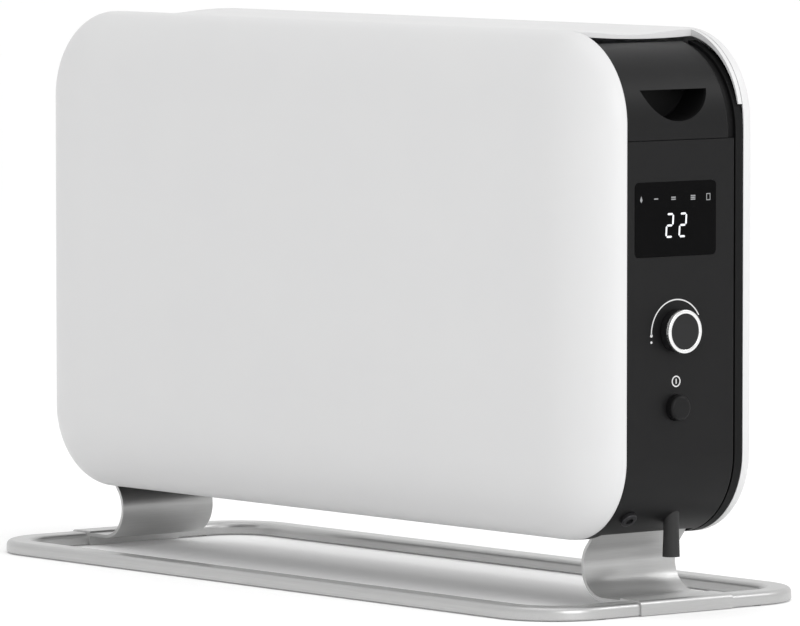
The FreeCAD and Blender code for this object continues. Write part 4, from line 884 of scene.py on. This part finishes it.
@dataclass
class DisplayMarks:
    """Lit digits and small lamps behind the window's face."""

    face_x: float = 350.3 * MM
    digit_height: float = 18.5 * MM
    digit_width: float = 7.6 * MM
    stroke: float = 1.5 * MM
    gap: float = 0.35 * MM
    low_z: float = 282.0 * MM
    starts: tuple[float, float] = (-15.8 * MM, -2.9 * MM)
    lean: float = 0.06
    proud: float = 0.06 * MM
    lamp_z: float = 311.5 * MM
    flame_y: float = -39.5 * MM
    bar_half: float = 0.45 * MM
    square: tuple[float, float, float] = (24.7 * MM, 28.7 * MM, 2.6 * MM)
    square_line: float = 0.6 * MM

    def segment(self, start: tuple[float, float], end: tuple[float, float], origin: float) -> Grid:
        """Six-cornered segment between two points of a digit.

        Formula: a bar with ends cut to points at 45 degrees, leaned by shifting y with height.

        Args:
            start: First end (y, z) inside the digit's box.
            end: Second end.
            origin: The digit's left side.

        Returns:
            The six corners.
        """
        a, b = np.array(start), np.array(end)
        along = (b - a) / np.linalg.norm(b - a)
        across = np.array([-along[1], along[0]])
        half = self.stroke / 2
        a, b = a + along * self.gap, b - along * self.gap
        corners = np.array([
            a, a + along * half - across * half, b - along * half - across * half,
            b, b - along * half + across * half, a + along * half + across * half,
        ])
        corners[:, 0] += corners[:, 1] * self.lean + origin
        corners[:, 1] += self.low_z
        return corners

    def build(self) -> None:
        """Make the number 22 and the row of five lamps."""
        digits = Plates(self.face_x, self.proud)
        half = self.stroke / 2
        right, top = self.digit_width - half, self.digit_height - half
        middle = self.digit_height / 2
        strokes = [
            ((half, top), (right, top)), ((right, top), (right, middle)), ((half, middle), (right, middle)),
            ((half, middle), (half, half)), ((half, half), (right, half)),
        ]
        for origin in self.starts:
            for start, end in strokes:
                digits.polygon(self.segment(start, end, origin))
        digits.finish("display_digits_lit", LAMP_WHITE, Body.HEATER, "smoked_glass")
        self.lamps()

    def lamps(self) -> None:
        """Make the five lamps: a flame, one bar, two bars, three bars and an open square."""
        lamps = Plates(self.face_x, self.proud)
        z = self.lamp_z
        flame = np.array([[0.0, -2.6], [1.2, -0.6], [0.0, 2.6], [-1.2, -0.6]]) * MM
        lamps.polygon(flame + np.array([self.flame_y, z]))
        rows = (((-26.9, -22.9), (0.0,)), ((-10.0, -5.6), (-0.75, 0.75)), ((9.2, 13.8), (-1.35, 0.0, 1.35)))
        for (left, right), rises in rows:
            for rise in rises:
                level = z + rise * MM
                lamps.bar((left * MM, right * MM), (level - self.bar_half, level + self.bar_half))
        y0, y1, half = self.square
        z0, z1 = z - half, z + half
        line = self.square_line
        lamps.bar((y0, y1), (z0, z0 + line))
        lamps.bar((y0, y1), (z1 - line, z1))
        lamps.bar((y0, y0 + line), (z0 + line, z1 - line))
        lamps.bar((y1 - line, y1), (z0 + line, z1 - line))
        lamps.finish("display_lamps_lit", LAMP_GREY, Body.HEATER, "smoked_glass")


@dataclass
class PrintedMarks:
    """White marks printed on the fascia round the dial and over the button, with a faint painted glow."""

    face_x: float = 350.0 * MM
    centre: tuple[float, float] = (-4.0 * MM, 210.5 * MM)
    radius: float = 25.0 * MM
    line: float = 0.95 * MM
    sweep: tuple[float, float] = (30.0, 182.0)
    mark: tuple[float, float] = (-4.5 * MM, 174.1 * MM)
    mark_radius: float = 4.3 * MM
    mark_bar: float = 1.9 * MM
    mark_steps: int = 48
    dots: tuple[tuple[float, float], ...] = ((1.2 * MM, 1.25 * MM), (6.2 * MM, 0.95 * MM))
    proud: float = 0.05 * MM

    def build(self) -> None:
        """Make the arc with its end dots, and the on-off mark."""
        arc = Plates(self.face_x, self.proud)
        arc.band(self.centre, self.radius - self.line / 2, self.radius + self.line / 2, self.sweep)
        left = self.centre[0] - self.radius
        for drop, radius in self.dots:
            arc.disc((left, self.centre[1] - drop), radius)
        # The print's faint light is a painted glow.
        arc.finish("dial_scale_print", PAINTED_GLOW_PRINT, Body.HEATER, "black_plastic")
        mark = Plates(self.face_x, self.proud)
        mark.band(self.mark, self.mark_radius - self.line, self.mark_radius, (0.0, 360.0),
                  self.mark_steps)
        mark.bar((self.mark[0] - self.line / 2, self.mark[0] + self.line / 2),
                 (self.mark[1] - self.mark_bar, self.mark[1] + self.mark_bar))
        # The print's faint light is a painted glow.
        mark.finish("power_mark_print", PAINTED_GLOW_PRINT, Body.HEATER, "black_plastic")


@dataclass
class Studio:
    """Plain pale floor, soft lights and the camera."""

    camera_place: tuple[float, float, float] = (4.9006, -3.9434, 0.6508)
    camera_target: tuple[float, float, float] = (0.0191, -0.003, 0.2071)
    lens: float = 362.73
    reach: float = 12.0
    floor_level: float = 6.0
    floor_curve: float = 3.0
    floor_turn: float = math.radians(51.0)
    sky_strength: float = 0.90

    def floor(self) -> None:
        """Lay the floor as a sheet that curves up far behind the heater.

        Formula: level until 6 m behind, then a quarter circle of 3 m radius, then straight up.
        """
        turn = np.linspace(0.0, math.pi / 2, 24)
        radius, start = self.floor_curve, self.floor_level
        along = np.concatenate([[-self.reach], start + radius * np.sin(turn), [start + radius]])
        up = np.concatenate([[0.0], radius * (1 - np.cos(turn)), [self.reach]])
        away = np.array([-math.sin(self.floor_turn), math.cos(self.floor_turn)])
        side = np.array([away[1], -away[0]])
        wide = np.array([-self.reach, self.reach])
        ground = along[:, None, None] * away + wide[None, :, None] * side
        height = np.broadcast_to(up[:, None, None], (*ground.shape[:2], 1))
        points = np.concatenate([ground, height], axis=-1).reshape(-1, 3)
        faces = Sheet.grid_faces(len(along), 2, False)[:, ::-1]
        mesh = bpy.data.meshes.new("studio_floor")
        mesh.from_pydata(points.tolist(), [], faces.tolist())
        mesh.polygons.foreach_set("use_smooth", np.full(len(mesh.polygons), True))
        mesh.materials.append(FLOOR_PAPER.material())
        floor = bpy.data.objects.new("studio_floor", mesh)
        bpy.context.scene.collection.objects.link(floor)

    def lamp(self, name: str, place: Sequence[float], target: Sequence[float], size: tuple[float, float],
             power: float) -> None:
        """Add a soft rectangular light.

        Args:
            name: Light's name.
            place: Where it stands.
            target: Where it points.
            size: Its width and height.
            power: Its power in watts.
        """
        data = bpy.data.lights.new(name, "AREA")
        data.shape = "RECTANGLE"
        data.size, data.size_y = size
        data.energy = power
        lamp = bpy.data.objects.new(name, data)
        lamp.location = place
        direction = Vector(target) - Vector(place)
        lamp.rotation_euler = direction.to_track_quat("-Z", "Y").to_euler()
        bpy.context.scene.collection.objects.link(lamp)

    def light(self) -> None:
        """Set the sky, the three soft lights and a plain tone curve, so that white reads as white."""
        bpy.context.scene.view_settings.view_transform = "Standard"
        world = bpy.data.worlds.new("studio_sky")
        world.use_nodes = True
        sky = world.node_tree.nodes["Background"]
        sky.inputs["Color"].default_value = (1.0, 1.0, 1.0, 1.0)
        sky.inputs["Strength"].default_value = self.sky_strength
        bpy.context.scene.world = world
        self.lamp("side_light", (4.4, -0.6, 1.8), (0.2, 0.0, 0.25), (2.2, 2.4), 60.0)
        self.lamp("top_light", (0.0, -0.3, 3.4), (0.0, 0.0, 0.2), (3.0, 2.2), 14.0)
        self.lamp("rim_light", (2.4, 3.2, 3.2), (0.3, 0.0, 0.3), (1.2, 1.2), 22.0)

    def camera(self) -> None:
        """Set the camera."""
        data = bpy.data.cameras.new("studio_camera")
        data.sensor_width = 36.0
        data.lens = self.lens
        data.clip_start, data.clip_end = 0.1, 60.0
        camera = bpy.data.objects.new("studio_camera", data)
        camera.location = self.camera_place
        direction = Vector(self.camera_target) - Vector(self.camera_place)
        camera.rotation_euler = direction.to_track_quat("-Z", "Y").to_euler()
        bpy.context.scene.collection.objects.link(camera)
        bpy.context.scene.camera = camera

    def build(self) -> None:
        """Make the whole studio."""
        self.floor()
        self.light()
        self.camera()


def write_sizes() -> None:
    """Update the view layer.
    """
    bpy.context.view_layer.update()


def main() -> None:
    """Build the studio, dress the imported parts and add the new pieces."""
    logging.basicConfig(level=logging.INFO, format="%(name)s: %(message)s")
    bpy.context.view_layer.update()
    Studio().build()
    PackedParts(frame["nodes"], frame["record"]).dress()
    FrontPanel().build()
    DisplayMarks().build()
    PrintedMarks().build()
    write_sizes()


if __name__ == "__main__":
    main()
